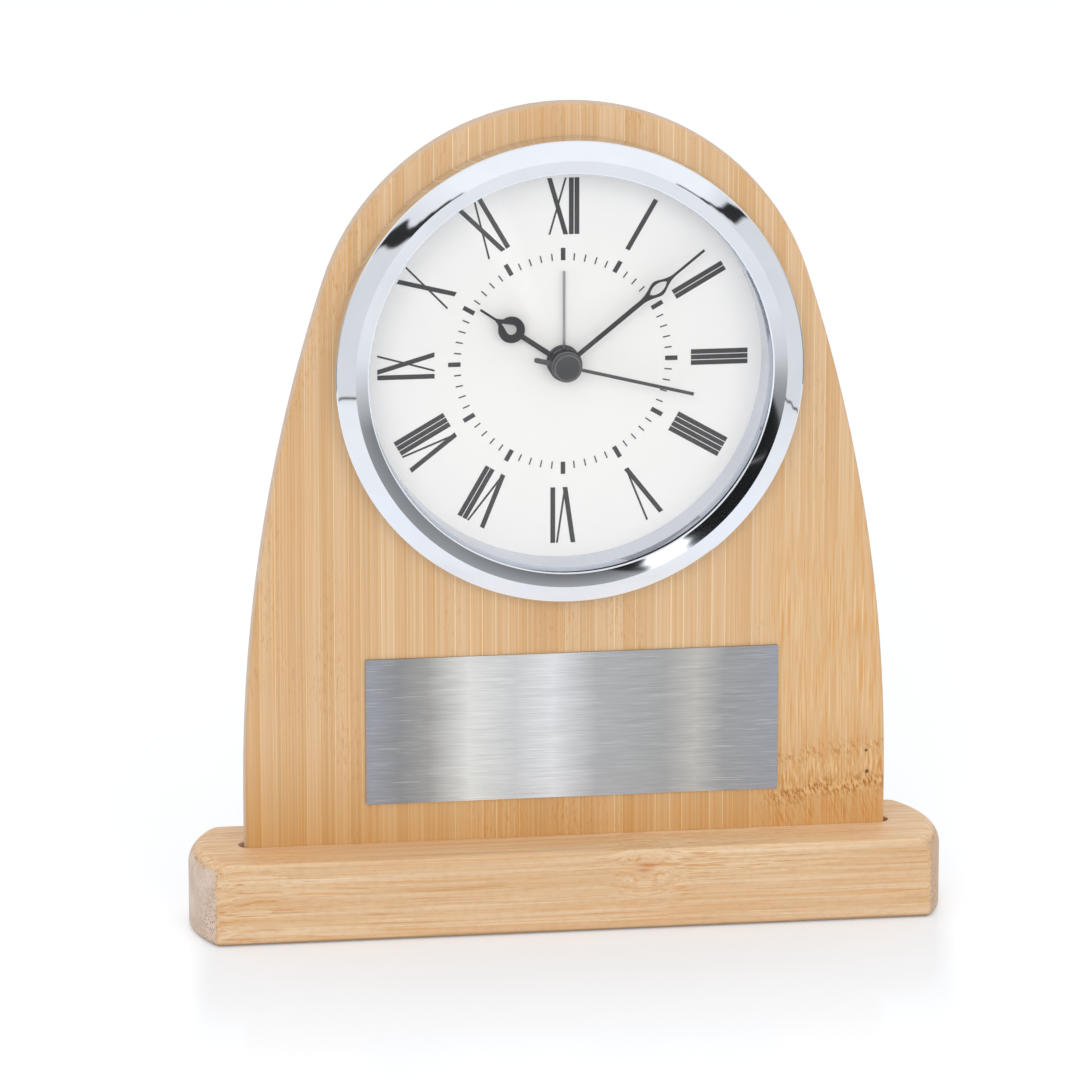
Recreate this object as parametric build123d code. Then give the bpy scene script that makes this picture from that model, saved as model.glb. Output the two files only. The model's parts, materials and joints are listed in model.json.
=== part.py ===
from build123d import *
import math
import os

# Desk clock: an arched bamboo panel stands in a slotted bamboo base and holds a round alarm-clock
# insert and an engraving plate. Millimetres, +Z up, the front faces -Y.
# The origin is the middle of the base's underside.

# Base
base_width = 168.0           # over the bowed ends
base_depth = 33.0
base_height = 18.0
base_end_bow = 4.6           # how far each end swells past its corners
base_end_round = 4.0         # along the top of each bowed end
base_long_edge_round = 1.6   # round the outline of the front and back
base_bottom_round = 0.8
slot_depth = 10.0
slot_end_room = 1.4          # round slot end past each side of the panel's foot
slot_side_clearance = 0.1

# Arched panel
panel_thickness = 5.0
panel_half_width = 71.6
panel_height = 183.0         # top of the arch above the floor
panel_widest_height = 30.0   # where the straight foot ends and the side arcs start
panel_top_radius = 56.0
panel_edge_round = 0.8
front_ledge = 14.5           # base in front of the panel

# Screws that hold the panel in the base
base_screw_pitch = 90.0
base_screw_count = 2
base_screw_shank_radius = 1.25
base_screw_head_radius = 2.6
base_screw_head_height = 1.8
base_screw_reach = 15.0      # into the panel's foot
base_screw_recess = 3.0
base_screw_tip_radius = 0.1
base_screw_cross_width = 0.7
screw_clearance = 0.02
head_clearance = 0.3

# Engraving plate
plate_width = 92.0
plate_height_share = 0.601   # of the room between the base and the bezel
plate_thickness = 0.5
plate_corner_radius = 0.3
plate_drop = 1.95            # middle of the plate below the middle of that room
plate_side_shift = 1.2       # the plate sits a little right of the middle
tape_thickness = 0.1
tape_margin = 2.0

# Insert, radii about the dial axis
barrel_radius = 46.5
barrel_wall = 1.2
bezel_flange = 5.0           # bezel past the barrel
bezel_crest_offset = 0.9     # crest outside the barrel
bezel_lip_overlap = 2.1      # lip over the edge of the lens
bezel_top_margin = 7.1       # panel above the bezel
gasket_thickness = 0.7
hole_clearance = 0.1
spacer_wall = 1.1
ring_clearance = 0.1
press_clearance = 0.03

# Insert, depths along the dial axis, measured from the panel's front face
bezel_wall_rise = 5.6        # plain outer side of the bezel
bezel_rise = 8.2             # crest of the bezel
bezel_lip_rise = 7.2         # front edge of the lip over the lens
bezel_lip_thickness = 2.5
bezel_bulge = 0.12           # swell of the bezel's outer band
bezel_crest_round = 0.4
lens_thickness = 1.5
dial_gap = 9.4               # lens to dial
dial_thickness = 0.5
print_thickness = 0.06
floor_thickness = 1.3
cup_depth = 24.0             # panel front to the end of the barrel
cover_thickness = 2.0
cover_round = 0.8

# The outlines inside the insert are given for a barrel of 46.5 and follow the barrel
insert_scale = barrel_radius / 46.5

# Dial print
numeral_inner_radius = 28.4 * insert_scale
numeral_height = 12.6 * insert_scale
stroke_thick = 1.05 * insert_scale
stroke_thin = 0.42 * insert_scale
stroke_gap = 0.18 * insert_scale
letter_spread = 3.6 * insert_scale           # V and X, between the middles of their strokes
track_inner_radius = 22.65 * insert_scale
hour_tick_length = 2.75 * insert_scale
hour_tick_width = 1.0 * insert_scale
minute_tick_length = 1.6 * insert_scale
minute_tick_width = 0.28 * insert_scale

# Movement plates, relative to the dial axis
movement_width = 48.0 * insert_scale
movement_height = 35.0 * insert_scale
movement_rise = 2.0 * insert_scale           # middle of the movement above the dial axis
movement_wall = 1.0
plate_stock = 1.2
middle_plate_stock = 0.8
pillar_inset = 3.0 * insert_scale
pillar_foot_radius = 3.0 * insert_scale
pillar_radius = 2.2 * insert_scale
pillar_bore_depth = 6.0
movement_screw_radius = 0.8
movement_screw_head_radius = 1.7
movement_screw_head_height = 1.0

# Wheel train
wheel_stock = 0.7
level_gap = 0.45
pinion_overhang = 0.15
running_clearance = 0.05
fine_arbor_radius = 0.4
pipe_wall = 0.5
set_arbor_radius = 1.0
bush_wall = 1.5
hour_train_distance = 12.0 * insert_scale    # dial axis to the minute wheel and to the alarm arbor
third_distance = 8.5 * insert_scale          # dial axis to the third wheel
fifth_distance = 8.64 * insert_scale         # dial axis to the fifth wheel
rotor_distance = 5.6 * insert_scale          # fifth wheel to the rotor
fifth_direction = -60.0      # degrees anticlockwise from +X, seen from the front
rotor_direction = -150.0
cannon_teeth = 12
minute_wheel_teeth = 36
minute_pinion_teeth = 10
hour_wheel_teeth = 40
alarm_pinion_teeth = 12
alarm_wheel_teeth = 48
third_pinion_teeth = 8
centre_wheel_teeth = 64
second_pinion_teeth = 8
third_wheel_teeth = 60
fifth_pinion_teeth = 8
second_wheel_teeth = 40
rotor_pinion_teeth = 8
fifth_wheel_teeth = 48
tooth_addendum = 0.7         # in modules
tooth_dedendum = 1.15
tooth_tip_share = 0.18       # of the tooth pitch
tooth_root_share = 0.44
rotor_radius = 2.0 * insert_scale
rotor_air_gap = 0.3

# Hands: lengths from the dial axis, rest angles clockwise from twelve
hand_stock = 0.4
alarm_hand_lift = 1.2        # back of the hand above the dial
hour_hand_lift = 2.5
minute_hand_lift = 3.8
second_hand_lift = 5.4
alarm_hand_length = 20.5 * insert_scale
alarm_hand_width = 0.55 * insert_scale
alarm_hub_radius = 3.1 * insert_scale
alarm_rest_angle = 0.0
hour_hand_length = 22.5 * insert_scale
hour_ring_distance = 14.25 * insert_scale
hour_ring_radius = 2.95 * insert_scale
hour_eye_radius = 1.15 * insert_scale
hour_eye_tip = 16.9 * insert_scale
hour_neck_distance = 18.5 * insert_scale
hour_stem_width = 1.15 * insert_scale
hour_hub_radius = 3.4 * insert_scale
hour_rest_angle = 304.3
minute_hand_length = 39.4 * insert_scale
minute_stem_width = 1.0 * insert_scale
minute_leaf_start = 21.3 * insert_scale
minute_leaf_middle = 26.3 * insert_scale
minute_leaf_end = 31.3 * insert_scale
minute_leaf_width = 3.5 * insert_scale
minute_eye_length = 4.8 * insert_scale
minute_eye_width = 2.1 * insert_scale
minute_hub_radius = 3.7 * insert_scale
minute_rest_angle = 51.0
hour_waist_inset = 0.35 * insert_scale
hour_waist_drop = 0.15 * insert_scale
needle_width = 0.5 * insert_scale            # slim points of the hour and minute hands
second_hand_length = 29.0 * insert_scale
second_hand_width = 0.7 * insert_scale
second_tail_length = 7.4 * insert_scale
second_tail_width = 1.1 * insert_scale
second_hub_radius = 2.6 * insert_scale
second_rest_angle = 104.0
cap_radius = 3.4 * insert_scale
cap_height = 1.5
cap_round = 0.5

# Motor and circuit
stator_half_height = 2.9 * insert_scale
stator_left = -18.3 * insert_scale
leg_width = 2.8 * insert_scale
right_leg_left = -9.5 * insert_scale
leg_top = -2.9 * insert_scale
core_height = 2.1
core_stock = 0.8
coil_radius = 1.4
coil_bore_clearance = 0.05
board_width = 11.8 * insert_scale
board_height = 11.0 * insert_scale
board_stock = 0.8
board_shift = 12.4 * insert_scale
chip_side = 3.5 * insert_scale
chip_height = 0.6
chip_shift = (2.0 * insert_scale, -2.5 * insert_scale)
crystal_radius = 0.9
crystal_length = 6.0 * insert_scale
crystal_shift = (1.0 * insert_scale, 3.0 * insert_scale)

# Battery bay
cell_radius = 7.25
cell_length = 49.2 * insert_scale
cell_nub_radius = 2.75
cell_nub_length = 1.3
cell_drop = 25.0 * insert_scale              # cell axis below the dial axis
cell_side_clearance = 0.1
contact_stock = 0.5
contact_width = 9.0
contact_spring_radius = 3.0
contact_spring_length = 1.2
bay_wall = 1.5
saddle_offset = 15.0 * insert_scale
saddle_stock = 2.0

# Rear cover and controls
cover_boss_radius = 3.0
cover_boss_angle = 30.0
cover_screw_radius = 1.0
cover_screw_head_radius = 2.1
cover_screw_head_height = 1.0
cover_screw_reach = 7.0
cover_post_radius = 1.5
cover_post_offset = 10.0 * insert_scale
locator_length = 6.0
locator_stock = 2.0
locator_rise = 4.0
control_clearance = 0.3
knob_radius = 6.0 * insert_scale
knob_height = 4.0
knob_ribs = 24
knob_rib_depth = 0.35
knob_lift = 0.5              # knob clear of the cover
knob_socket_depth = 3.0
door_room = 0.45             # opening past the cell, above and below
door_stock = 1.1
door_groove_count = 3
door_groove_pitch = 1.6
door_groove_length = 14.0
door_groove_width = 0.7
door_groove_depth = 0.4
door_groove_inset = 2.0      # first groove below the door's top edge
door_rim = 1.8               # ledge of the cover under the door's edge
switch_centre = (20.0 * insert_scale, 27.0 * insert_scale)
switch_travel = 3.0
switch_stem = (2.6, 2.6)
switch_tab = (4.0, 4.0)
switch_tab_height = 1.6
switch_flange = (5.0, 5.0)
switch_flange_stock = 0.8
buzzer_centre = (-14.0 * insert_scale, 32.0 * insert_scale)
buzzer_radius = 8.5 * insert_scale
buzzer_height = 3.0

# Places worked out from the sizes above
half_depth = base_depth / 2
panel_front = front_ledge - half_depth
panel_middle = panel_front + panel_thickness / 2
slot_floor = base_height - slot_depth
hole_radius = barrel_radius + gasket_thickness + hole_clearance
bezel_radius = barrel_radius + bezel_flange
bezel_crest_radius = barrel_radius + bezel_crest_offset
bezel_lip_radius = barrel_radius - bezel_lip_overlap
dial_height = panel_height - bezel_top_margin - bezel_radius
plate_room = dial_height - bezel_radius - base_height
plate_height = plate_height_share * plate_room
plate_centre_height = base_height + plate_room / 2 - plate_drop
barrel_bore = barrel_radius - barrel_wall
lens_front = bezel_lip_thickness - bezel_lip_rise
lens_back = lens_front + lens_thickness
dial_front = lens_back + dial_gap
dial_back = dial_front + dial_thickness
floor_back = dial_back + floor_thickness
housing_back = floor_back + plate_stock
level_pitch = wheel_stock + level_gap
middle_plate_front = housing_back + level_gap + 3 * level_pitch
middle_plate_back = middle_plate_front + middle_plate_stock
lid_front = middle_plate_back + level_gap + 5 * level_pitch
lid_back = lid_front + plate_stock
cover_back = cup_depth + cover_thickness
knob_front = cover_back + knob_lift
knob_back = knob_front + knob_height

alarm_level = housing_back + level_gap
hour_level = alarm_level + level_pitch
motion_level = hour_level + level_pitch
centre_level = middle_plate_back + level_gap
third_level = centre_level + level_pitch
second_level = third_level + level_pitch
fifth_level = second_level + level_pitch
rotor_level = fifth_level + level_pitch

minute_bore = fine_arbor_radius + running_clearance
minute_pipe_radius = minute_bore + pipe_wall
hour_bore = minute_pipe_radius + running_clearance
hour_pipe_radius = hour_bore + pipe_wall
alarm_bore = hour_pipe_radius + running_clearance
alarm_pipe_radius = alarm_bore + pipe_wall
bush_bore = alarm_pipe_radius + running_clearance
bush_radius = bush_bore + bush_wall
bush_front = dial_front - alarm_hand_lift / 2

minute_wheel_place = (hour_train_distance, 0.0)
alarm_arbor_place = (-hour_train_distance, 0.0)
third_place = (0.0, third_distance)


def polar(distance, direction):
    """Point at a distance along a direction, in degrees anticlockwise from +X."""
    angle = math.radians(direction)
    return (distance * math.cos(angle), distance * math.sin(angle))


def moved(place, step):
    return (place[0] + step[0], place[1] + step[1])


fifth_place = polar(fifth_distance, fifth_direction)
rotor_place = moved(fifth_place, polar(rotor_distance, rotor_direction))
pillar_x = movement_width / 2 - pillar_inset
pillar_top = movement_rise + movement_height / 2 - pillar_inset
pillar_bottom = movement_rise - movement_height / 2 + pillar_inset
pillar_places = [(side * pillar_x, height) for side in (-1, 1) for height in (pillar_top, pillar_bottom)]
boss_ring_radius = barrel_bore - cover_boss_radius + ring_clearance
boss_angles = (cover_boss_angle, 180 - cover_boss_angle, 180 + cover_boss_angle, -cover_boss_angle)
boss_places = [polar(boss_ring_radius, angle) for angle in boss_angles]
base_screw_places = [base_screw_pitch * (i - (base_screw_count - 1) / 2) for i in range(base_screw_count)]
cell_depth = cup_depth - cell_radius - control_clearance
contact_x = cell_length / 2 + cell_nub_length + cell_side_clearance
bay_wall_x = contact_x + contact_stock
door_width = 2 * (bay_wall_x + 2 * ring_clearance + door_rim)
door_height = 2 * (cell_radius + door_room + door_rim)
board_bottom = movement_rise - movement_height / 2 + movement_wall + 2 * ring_clearance
board_centre = (board_shift, board_bottom + board_height / 2)


# Helpers: flat outlines are drawn as seen from the front, about the dial axis
def dial_plane(depth):
    return Plane((0, panel_front + depth, dial_height), x_dir=(1, 0, 0), z_dir=(0, -1, 0))


def slab(outline, front, back):
    """Solid between two depths, from an outline drawn about the dial axis."""
    return extrude(dial_plane(back) * outline, amount=back - front)


def disc(radius, front, back, place=(0.0, 0.0)):
    return slab(Pos(*place) * Circle(radius), front, back)


def block(width, height, front, back, place=(0.0, 0.0)):
    return slab(Pos(*place) * Rectangle(width, height), front, back)


def front_sketch_plane(y):
    return Plane((0, y, 0), x_dir=(1, 0, 0), z_dir=(0, -1, 0))


def direction_to(start, end):
    return math.degrees(math.atan2(end[1] - start[1], end[0] - start[0]))


upright = (Align.CENTER, Align.CENTER, Align.MIN)


# Wooden parts
def base_outline():
    corner_x = base_width / 2 - base_end_bow
    front_right = (corner_x, -half_depth)
    back_right = (corner_x, half_depth)
    back_left = (-corner_x, half_depth)
    front_left = (-corner_x, -half_depth)
    edges = [
        Line(front_left, front_right),
        ThreePointArc(front_right, (base_width / 2, 0), back_right),
        Line(back_right, back_left),
        ThreePointArc(back_left, (-base_width / 2, 0), front_left),
    ]
    return make_face(edges)


def base_block():
    body = extrude(base_outline(), amount=base_height)
    top = body.faces().sort_by(Axis.Z)[-1]
    body = fillet(top.edges().filter_by(GeomType.CIRCLE), base_end_round)
    long_faces = body.faces().filter_by(Axis.Y)
    bottom = body.faces().sort_by(Axis.Z)[0]
    rims = [edge for face in long_faces for edge in face.edges() if edge not in bottom.edges()]
    body = fillet(rims, base_long_edge_round)
    body = fillet(body.faces().sort_by(Axis.Z)[0].edges(), base_bottom_round)
    slot_length = 2 * (panel_half_width + slot_end_room)
    slot_width = panel_thickness + 2 * slot_side_clearance
    slot = extrude(SlotOverall(slot_length, slot_width), amount=base_height)
    body -= Pos(0, panel_middle, slot_floor) * slot
    for x in base_screw_places:
        passage = Cylinder(base_screw_shank_radius + head_clearance, base_height, align=upright)
        recess = Cylinder(base_screw_head_radius + head_clearance, base_screw_recess, align=upright)
        body -= Pos(x, panel_middle, 0) * passage
        body -= Pos(x, panel_middle, 0) * recess
    return body


def arch_outline():
    """Straight foot, long side arcs and a top arc that meets them smoothly."""
    top_centre = panel_height - panel_top_radius
    rise = top_centre - panel_widest_height
    taper = panel_half_width - panel_top_radius
    side_radius = (panel_half_width ** 2 - panel_top_radius ** 2 + rise ** 2) / (2 * taper)
    side_centre_x = panel_half_width - side_radius
    meeting = math.degrees(math.atan2(rise, -side_centre_x))

    def on_side(angle):
        return moved((side_centre_x, panel_widest_height), polar(side_radius, angle))

    foot = (panel_half_width, slot_floor)
    widest = (panel_half_width, panel_widest_height)
    middle = on_side(meeting / 2)
    shoulder = on_side(meeting)
    mirrored = [(-x, z) for x, z in (foot, widest, middle, shoulder)]
    edges = [
        Line(mirrored[0], foot),
        Line(foot, widest),
        ThreePointArc(widest, middle, shoulder),
        ThreePointArc(shoulder, (0, panel_height), mirrored[3]),
        ThreePointArc(mirrored[3], mirrored[2], mirrored[1]),
        Line(mirrored[1], mirrored[0]),
    ]
    return make_face(edges)


def arch_panel():
    back = panel_front + panel_thickness
    body = extrude(front_sketch_plane(back) * arch_outline(), amount=panel_thickness)
    faces = body.faces().sort_by(Axis.Y)
    body = fillet(faces[0].edges() + faces[-1].edges(), panel_edge_round)
    body -= disc(hole_radius, 0.0, panel_thickness)
    bore_depth = base_screw_reach + head_clearance
    bore = Cylinder(base_screw_shank_radius + screw_clearance, bore_depth, align=upright)
    for x in base_screw_places:
        body -= Pos(x, panel_middle, slot_floor) * bore
    return body


def base_screw(x):
    """Round-headed wood screw driven up through the base into the panel."""
    seat = base_screw_recess
    head = Pos(0, 0, seat - base_screw_head_height) * Cylinder(
        base_screw_head_radius, base_screw_head_height, align=upright)
    length = slot_floor + base_screw_reach - seat
    tip = 3 * base_screw_shank_radius
    shank = Pos(0, 0, seat) * Cylinder(base_screw_shank_radius, length - tip, align=upright)
    point = Pos(0, 0, seat + length - tip) * Cone(
        base_screw_shank_radius, base_screw_tip_radius, tip, align=upright)
    screw = head + shank + point
    for turn in (0, 90):
        screw -= Pos(0, 0, seat - base_screw_head_height) * Rot(0, 0, turn) * Box(
            base_screw_head_radius, base_screw_cross_width, base_screw_head_height)
    return Pos(x, panel_middle, 0) * screw


def base_screws():
    return Compound(children=[base_screw(x) for x in base_screw_places])


# Engraving plate
def plate_place():
    return Pos(plate_side_shift, plate_centre_height - dial_height)


def engraving_plate():
    back = -tape_thickness
    body = slab(plate_place() * Rectangle(plate_width, plate_height), back - plate_thickness, back)
    return fillet(body.edges().filter_by(Axis.Y), plate_corner_radius)


def plate_tape():
    outline = plate_place() * Rectangle(plate_width - 2 * tape_margin, plate_height - 2 * tape_margin)
    return slab(outline, -tape_thickness, 0.0)


# Insert shell
def bezel_ring():
    """Polished ring: sloping outer band, crest, inner slope down to the lip over the lens."""
    seat = barrel_radius + press_clearance
    band_start = (bezel_radius, -bezel_wall_rise)
    crest = (bezel_crest_radius, -bezel_rise)
    band_middle = (
        (band_start[0] + crest[0]) / 2 + bezel_bulge,
        (band_start[1] + crest[1]) / 2 - bezel_bulge,
    )
    lip = (bezel_lip_radius, -bezel_lip_rise)
    edges = [
        Line((seat, 0), (bezel_radius, 0)),
        Line((bezel_radius, 0), band_start),
        ThreePointArc(band_start, band_middle, crest),
        Line(crest, lip),
        Line(lip, (bezel_lip_radius, lens_front)),
        Line((bezel_lip_radius, lens_front), (seat, lens_front)),
        Line((seat, lens_front), (seat, 0)),
    ]
    ring = revolve(make_face(edges), Axis.Y)
    crest_edge = ring.edges().filter_by(GeomType.CIRCLE).sort_by(Axis.Y)[0]
    ring = fillet(crest_edge, bezel_crest_round)
    return Pos(0, panel_front, dial_height) * ring


def lens():
    return disc(barrel_radius - press_clearance, lens_front, lens_back)


def dial_spacer_ring():
    outer = barrel_bore - ring_clearance
    return slab(Circle(outer) - Circle(outer - spacer_wall), lens_back, dial_front)


def dial_disc():
    outline = Circle(barrel_bore - ring_clearance) - Circle(bush_radius + ring_clearance)
    return slab(outline, dial_front, dial_back)


def stroke(top_x, bottom_x, width):
    """Slanted bar of a numeral, standing on the line y = 0."""
    half = width / 2
    points = [
        (bottom_x - half, 0),
        (bottom_x + half, 0),
        (top_x + half, numeral_height),
        (top_x - half, numeral_height),
    ]
    return make_face(Polyline(*points, close=True))


def letter(name, left):
    """Strokes of one letter that starts at left, and where the letter ends."""
    if name == "I":
        middle = left + stroke_thick / 2
        return [stroke(middle, middle, stroke_thick)], left + stroke_thick
    first = left + stroke_thick / 2
    last = first + letter_spread
    if name == "V":
        apex = (first + last) / 2
        strokes = [stroke(first, apex, stroke_thick), stroke(last, apex, stroke_thin)]
        return strokes, last + stroke_thin / 2
    strokes = [stroke(first, last, stroke_thick), stroke(last, first, stroke_thin)]
    return strokes, last + stroke_thick / 2


def numeral(name, hour):
    """Roman numeral with its feet toward the middle of the dial."""
    strokes = []
    left = 0.0
    for character in name:
        parts, end = letter(character, left)
        strokes += parts
        left = end + stroke_gap
    width = left - stroke_gap
    outline = strokes[0]
    for part in strokes[1:]:
        outline += part
    return Rot(0, 0, -30 * hour) * Pos(-width / 2, numeral_inner_radius) * outline


def dial_numerals():
    names = ["XII", "I", "II", "III", "IIII", "V", "VI", "VII", "VIII", "IX", "X", "XI"]
    solids = []
    for hour, name in enumerate(names):
        solids += slab(numeral(name, hour), dial_front - print_thickness, dial_front).solids()
    return Compound(children=solids)


def tick(minute):
    on_hour = minute % 5 == 0
    length = hour_tick_length if on_hour else minute_tick_length
    width = hour_tick_width if on_hour else minute_tick_width
    outline = Rot(0, 0, -6 * minute) * Pos(0, track_inner_radius + length / 2) * Rectangle(width, length)
    return slab(outline, dial_front - print_thickness, dial_front)


def dial_minute_track():
    return Compound(children=[tick(minute) for minute in range(60)])


def saddle(x):
    """Rib of the cup that the battery lies on."""
    body = slab(
        Pos(x, -cell_drop) * Rectangle(saddle_stock, 2 * cell_radius), floor_back, cell_depth)
    return body - cell_cylinder(cell_radius + cell_side_clearance, -base_width, base_width)


def cell_cylinder(radius, left, right):
    """Cylinder along X on the battery's axis."""
    middle = ((left + right) / 2, panel_front + cell_depth, dial_height - cell_drop)
    return Pos(*middle) * Rot(0, 90, 0) * Cylinder(radius, right - left)


def bay_end(side):
    middle = side * (bay_wall_x + bay_wall / 2)
    return block(bay_wall, 2 * cell_radius, floor_back, cup_depth, (middle, -cell_drop))


def insert_cup():
    """Moulded barrel with the dial floor, battery bay and screw bosses."""
    body = slab(Circle(barrel_radius) - Circle(barrel_bore), lens_back, cup_depth)
    body += slab(Circle(barrel_radius) - Circle(bush_radius + ring_clearance), dial_back, floor_back)
    for side in (-1, 1):
        body += saddle(side * saddle_offset)
        body += bay_end(side)
        locator_x = side * (movement_width / 2 + ring_clearance + locator_stock / 2)
        body += block(
            locator_stock, locator_length, floor_back, floor_back + locator_rise, (locator_x, movement_rise))
    for place in boss_places:
        body += disc(cover_boss_radius, floor_back, cup_depth, place)
        bore_end = cup_depth - cover_screw_reach - head_clearance
        body -= disc(cover_screw_radius + screw_clearance, bore_end, cup_depth, place)
    return body


def grip_gasket():
    outline = Circle(barrel_radius + gasket_thickness) - Circle(barrel_radius)
    return slab(outline, 0.0, panel_thickness)


# Movement case
def movement_outline(inset=0.0):
    return Pos(0, movement_rise) * Rectangle(movement_width - 2 * inset, movement_height - 2 * inset)


def set_arbor_holes():
    radius = set_arbor_radius + running_clearance
    return Pos(*minute_wheel_place) * Circle(radius) + Pos(*alarm_arbor_place) * Circle(radius)


def fine_arbor_holes():
    holes = Pos(*third_place) * Circle(minute_bore)
    holes += Pos(*fifth_place) * Circle(minute_bore)
    holes += Pos(*rotor_place) * Circle(minute_bore)
    return holes


def movement_housing():
    """Tray with side walls, corner pillars and the bush that carries the hands' pipes."""
    floor = movement_outline() - set_arbor_holes() - Circle(bush_bore)
    body = slab(floor, floor_back, housing_back)
    body += slab(movement_outline() - movement_outline(movement_wall), floor_back, lid_front)
    body += slab(Circle(bush_radius) - Circle(bush_bore), bush_front, housing_back)
    for place in pillar_places:
        body += disc(pillar_foot_radius, floor_back, middle_plate_front, place)
        body += disc(pillar_radius, floor_back, lid_front, place)
        bore_end = lid_front - pillar_bore_depth
        body -= disc(movement_screw_radius + screw_clearance, bore_end, lid_front, place)
    return body


def movement_middle_plate():
    outline = movement_outline(movement_wall + ring_clearance)
    outline -= set_arbor_holes()
    outline -= fine_arbor_holes()
    outline -= Circle(hour_bore)
    notch = pillar_radius + ring_clearance + pillar_inset
    notch_x = movement_width / 2 - notch / 2
    for side in (-1, 1):
        for end in (-1, 1):
            notch_z = movement_rise + end * (movement_height / 2 - notch / 2)
            outline -= Pos(side * notch_x, notch_z) * Rectangle(notch, notch)
    return slab(outline, middle_plate_front, middle_plate_back)


def movement_lid():
    outline = movement_outline() - set_arbor_holes() - fine_arbor_holes() - Circle(minute_bore)
    for place in pillar_places:
        outline -= Pos(*place) * Circle(movement_screw_radius + ring_clearance)
    return slab(outline, lid_front, lid_back)


def cross_headed_screw(place, seat, head_radius, head_height, shank_radius, reach):
    """Small screw driven in from the back, its head standing on the seat depth."""
    screw = disc(head_radius, seat, seat + head_height, place)
    screw += disc(shank_radius, seat - reach, seat, place)
    bar = Rectangle(head_radius, head_radius / 4)
    recess = Pos(*place) * (bar + Rot(0, 0, 90) * bar)
    return screw - slab(recess, seat + head_height / 2, seat + head_height)


def movement_screws():
    reach = plate_stock + pillar_bore_depth - head_clearance
    screws = []
    for place in pillar_places:
        screws.append(cross_headed_screw(
            place, lid_back, movement_screw_head_radius, movement_screw_head_height,
            movement_screw_radius, reach))
    return Compound(children=screws)


# Wheels
def gear_outline(teeth, pitch_radius, tooth_direction):
    """Straight-sided teeth, one of them centred on the given direction."""
    module = 2 * pitch_radius / teeth
    tip = pitch_radius + tooth_addendum * module
    root = pitch_radius - tooth_dedendum * module
    pitch = 360 / teeth
    points = []
    for i in range(teeth):
        middle = tooth_direction + i * pitch
        points.append(polar(root, middle - pitch * tooth_root_share / 2))
        points.append(polar(tip, middle - pitch * tooth_tip_share / 2))
        points.append(polar(tip, middle + pitch * tooth_tip_share / 2))
        points.append(polar(root, middle + pitch * tooth_root_share / 2))
    return make_face(Polyline(*points, close=True))


def pitch_radius(distance, teeth, other_teeth):
    return distance * teeth / (teeth + other_teeth)


def wheel(level, place, partner, teeth, partner_teeth):
    """Wheel that turns a tooth toward its partner."""
    distance = math.dist(place, partner)
    outline = gear_outline(teeth, pitch_radius(distance, teeth, partner_teeth), direction_to(place, partner))
    return slab(Pos(*place) * outline, level, level + wheel_stock)


def pinion(level, place, partner, teeth, partner_teeth):
    """Pinion that turns a tooth gap toward its partner, a little longer than the wheel."""
    distance = math.dist(place, partner)
    gap_first = direction_to(place, partner) + 180 / teeth
    outline = gear_outline(teeth, pitch_radius(distance, teeth, partner_teeth), gap_first)
    return slab(Pos(*place) * outline, level - pinion_overhang, level + wheel_stock + pinion_overhang)


dial_axis = (0.0, 0.0)


def alarm_wheel():
    body = wheel(alarm_level, dial_axis, alarm_arbor_place, alarm_wheel_teeth, alarm_pinion_teeth)
    body += disc(alarm_pipe_radius, dial_front - alarm_hand_lift - hand_stock, alarm_level)
    return body - disc(alarm_bore, lens_back, lid_back)


def hour_wheel():
    body = wheel(hour_level, dial_axis, minute_wheel_place, hour_wheel_teeth, minute_pinion_teeth)
    body += disc(hour_pipe_radius, dial_front - hour_hand_lift - hand_stock, hour_level)
    return body - disc(hour_bore, lens_back, lid_back)


def centre_wheel():
    """Minute pipe with the cannon pinion and the wheel that the third pinion drives."""
    body = wheel(centre_level, dial_axis, third_place, centre_wheel_teeth, third_pinion_teeth)
    body += pinion(motion_level, dial_axis, minute_wheel_place, cannon_teeth, minute_wheel_teeth)
    body += disc(minute_pipe_radius, dial_front - minute_hand_lift - hand_stock, centre_level)
    return body - disc(minute_bore, lens_back, lid_back)


def set_arbor(place):
    """Arbor from the front of the movement to its knob on the back."""
    return disc(set_arbor_radius, floor_back + running_clearance, knob_front + knob_socket_depth, place)


def minute_wheel():
    """Set arbor with the minute wheel and its pinion; the time knob sits on its back end."""
    body = wheel(motion_level, minute_wheel_place, dial_axis, minute_wheel_teeth, cannon_teeth)
    body += pinion(hour_level, minute_wheel_place, dial_axis, minute_pinion_teeth, hour_wheel_teeth)
    return body + set_arbor(minute_wheel_place)


def alarm_set_arbor():
    body = pinion(alarm_level, alarm_arbor_place, dial_axis, alarm_pinion_teeth, alarm_wheel_teeth)
    return body + set_arbor(alarm_arbor_place)


def third_wheel():
    body = wheel(third_level, third_place, dial_axis, third_wheel_teeth, second_pinion_teeth)
    body += pinion(centre_level, third_place, dial_axis, third_pinion_teeth, centre_wheel_teeth)
    return body + disc(fine_arbor_radius, middle_plate_front, lid_back, third_place)


def second_wheel():
    """Seconds arbor: it runs through the minute pipe to the second hand."""
    body = wheel(second_level, dial_axis, fifth_place, second_wheel_teeth, fifth_pinion_teeth)
    body += pinion(third_level, dial_axis, third_place, second_pinion_teeth, third_wheel_teeth)
    return body + disc(fine_arbor_radius, dial_front - second_hand_lift - hand_stock, lid_back)


def fifth_wheel():
    body = wheel(fifth_level, fifth_place, rotor_place, fifth_wheel_teeth, rotor_pinion_teeth)
    body += pinion(second_level, fifth_place, dial_axis, fifth_pinion_teeth, second_wheel_teeth)
    return body + disc(fine_arbor_radius, middle_plate_front, lid_back, fifth_place)


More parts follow.
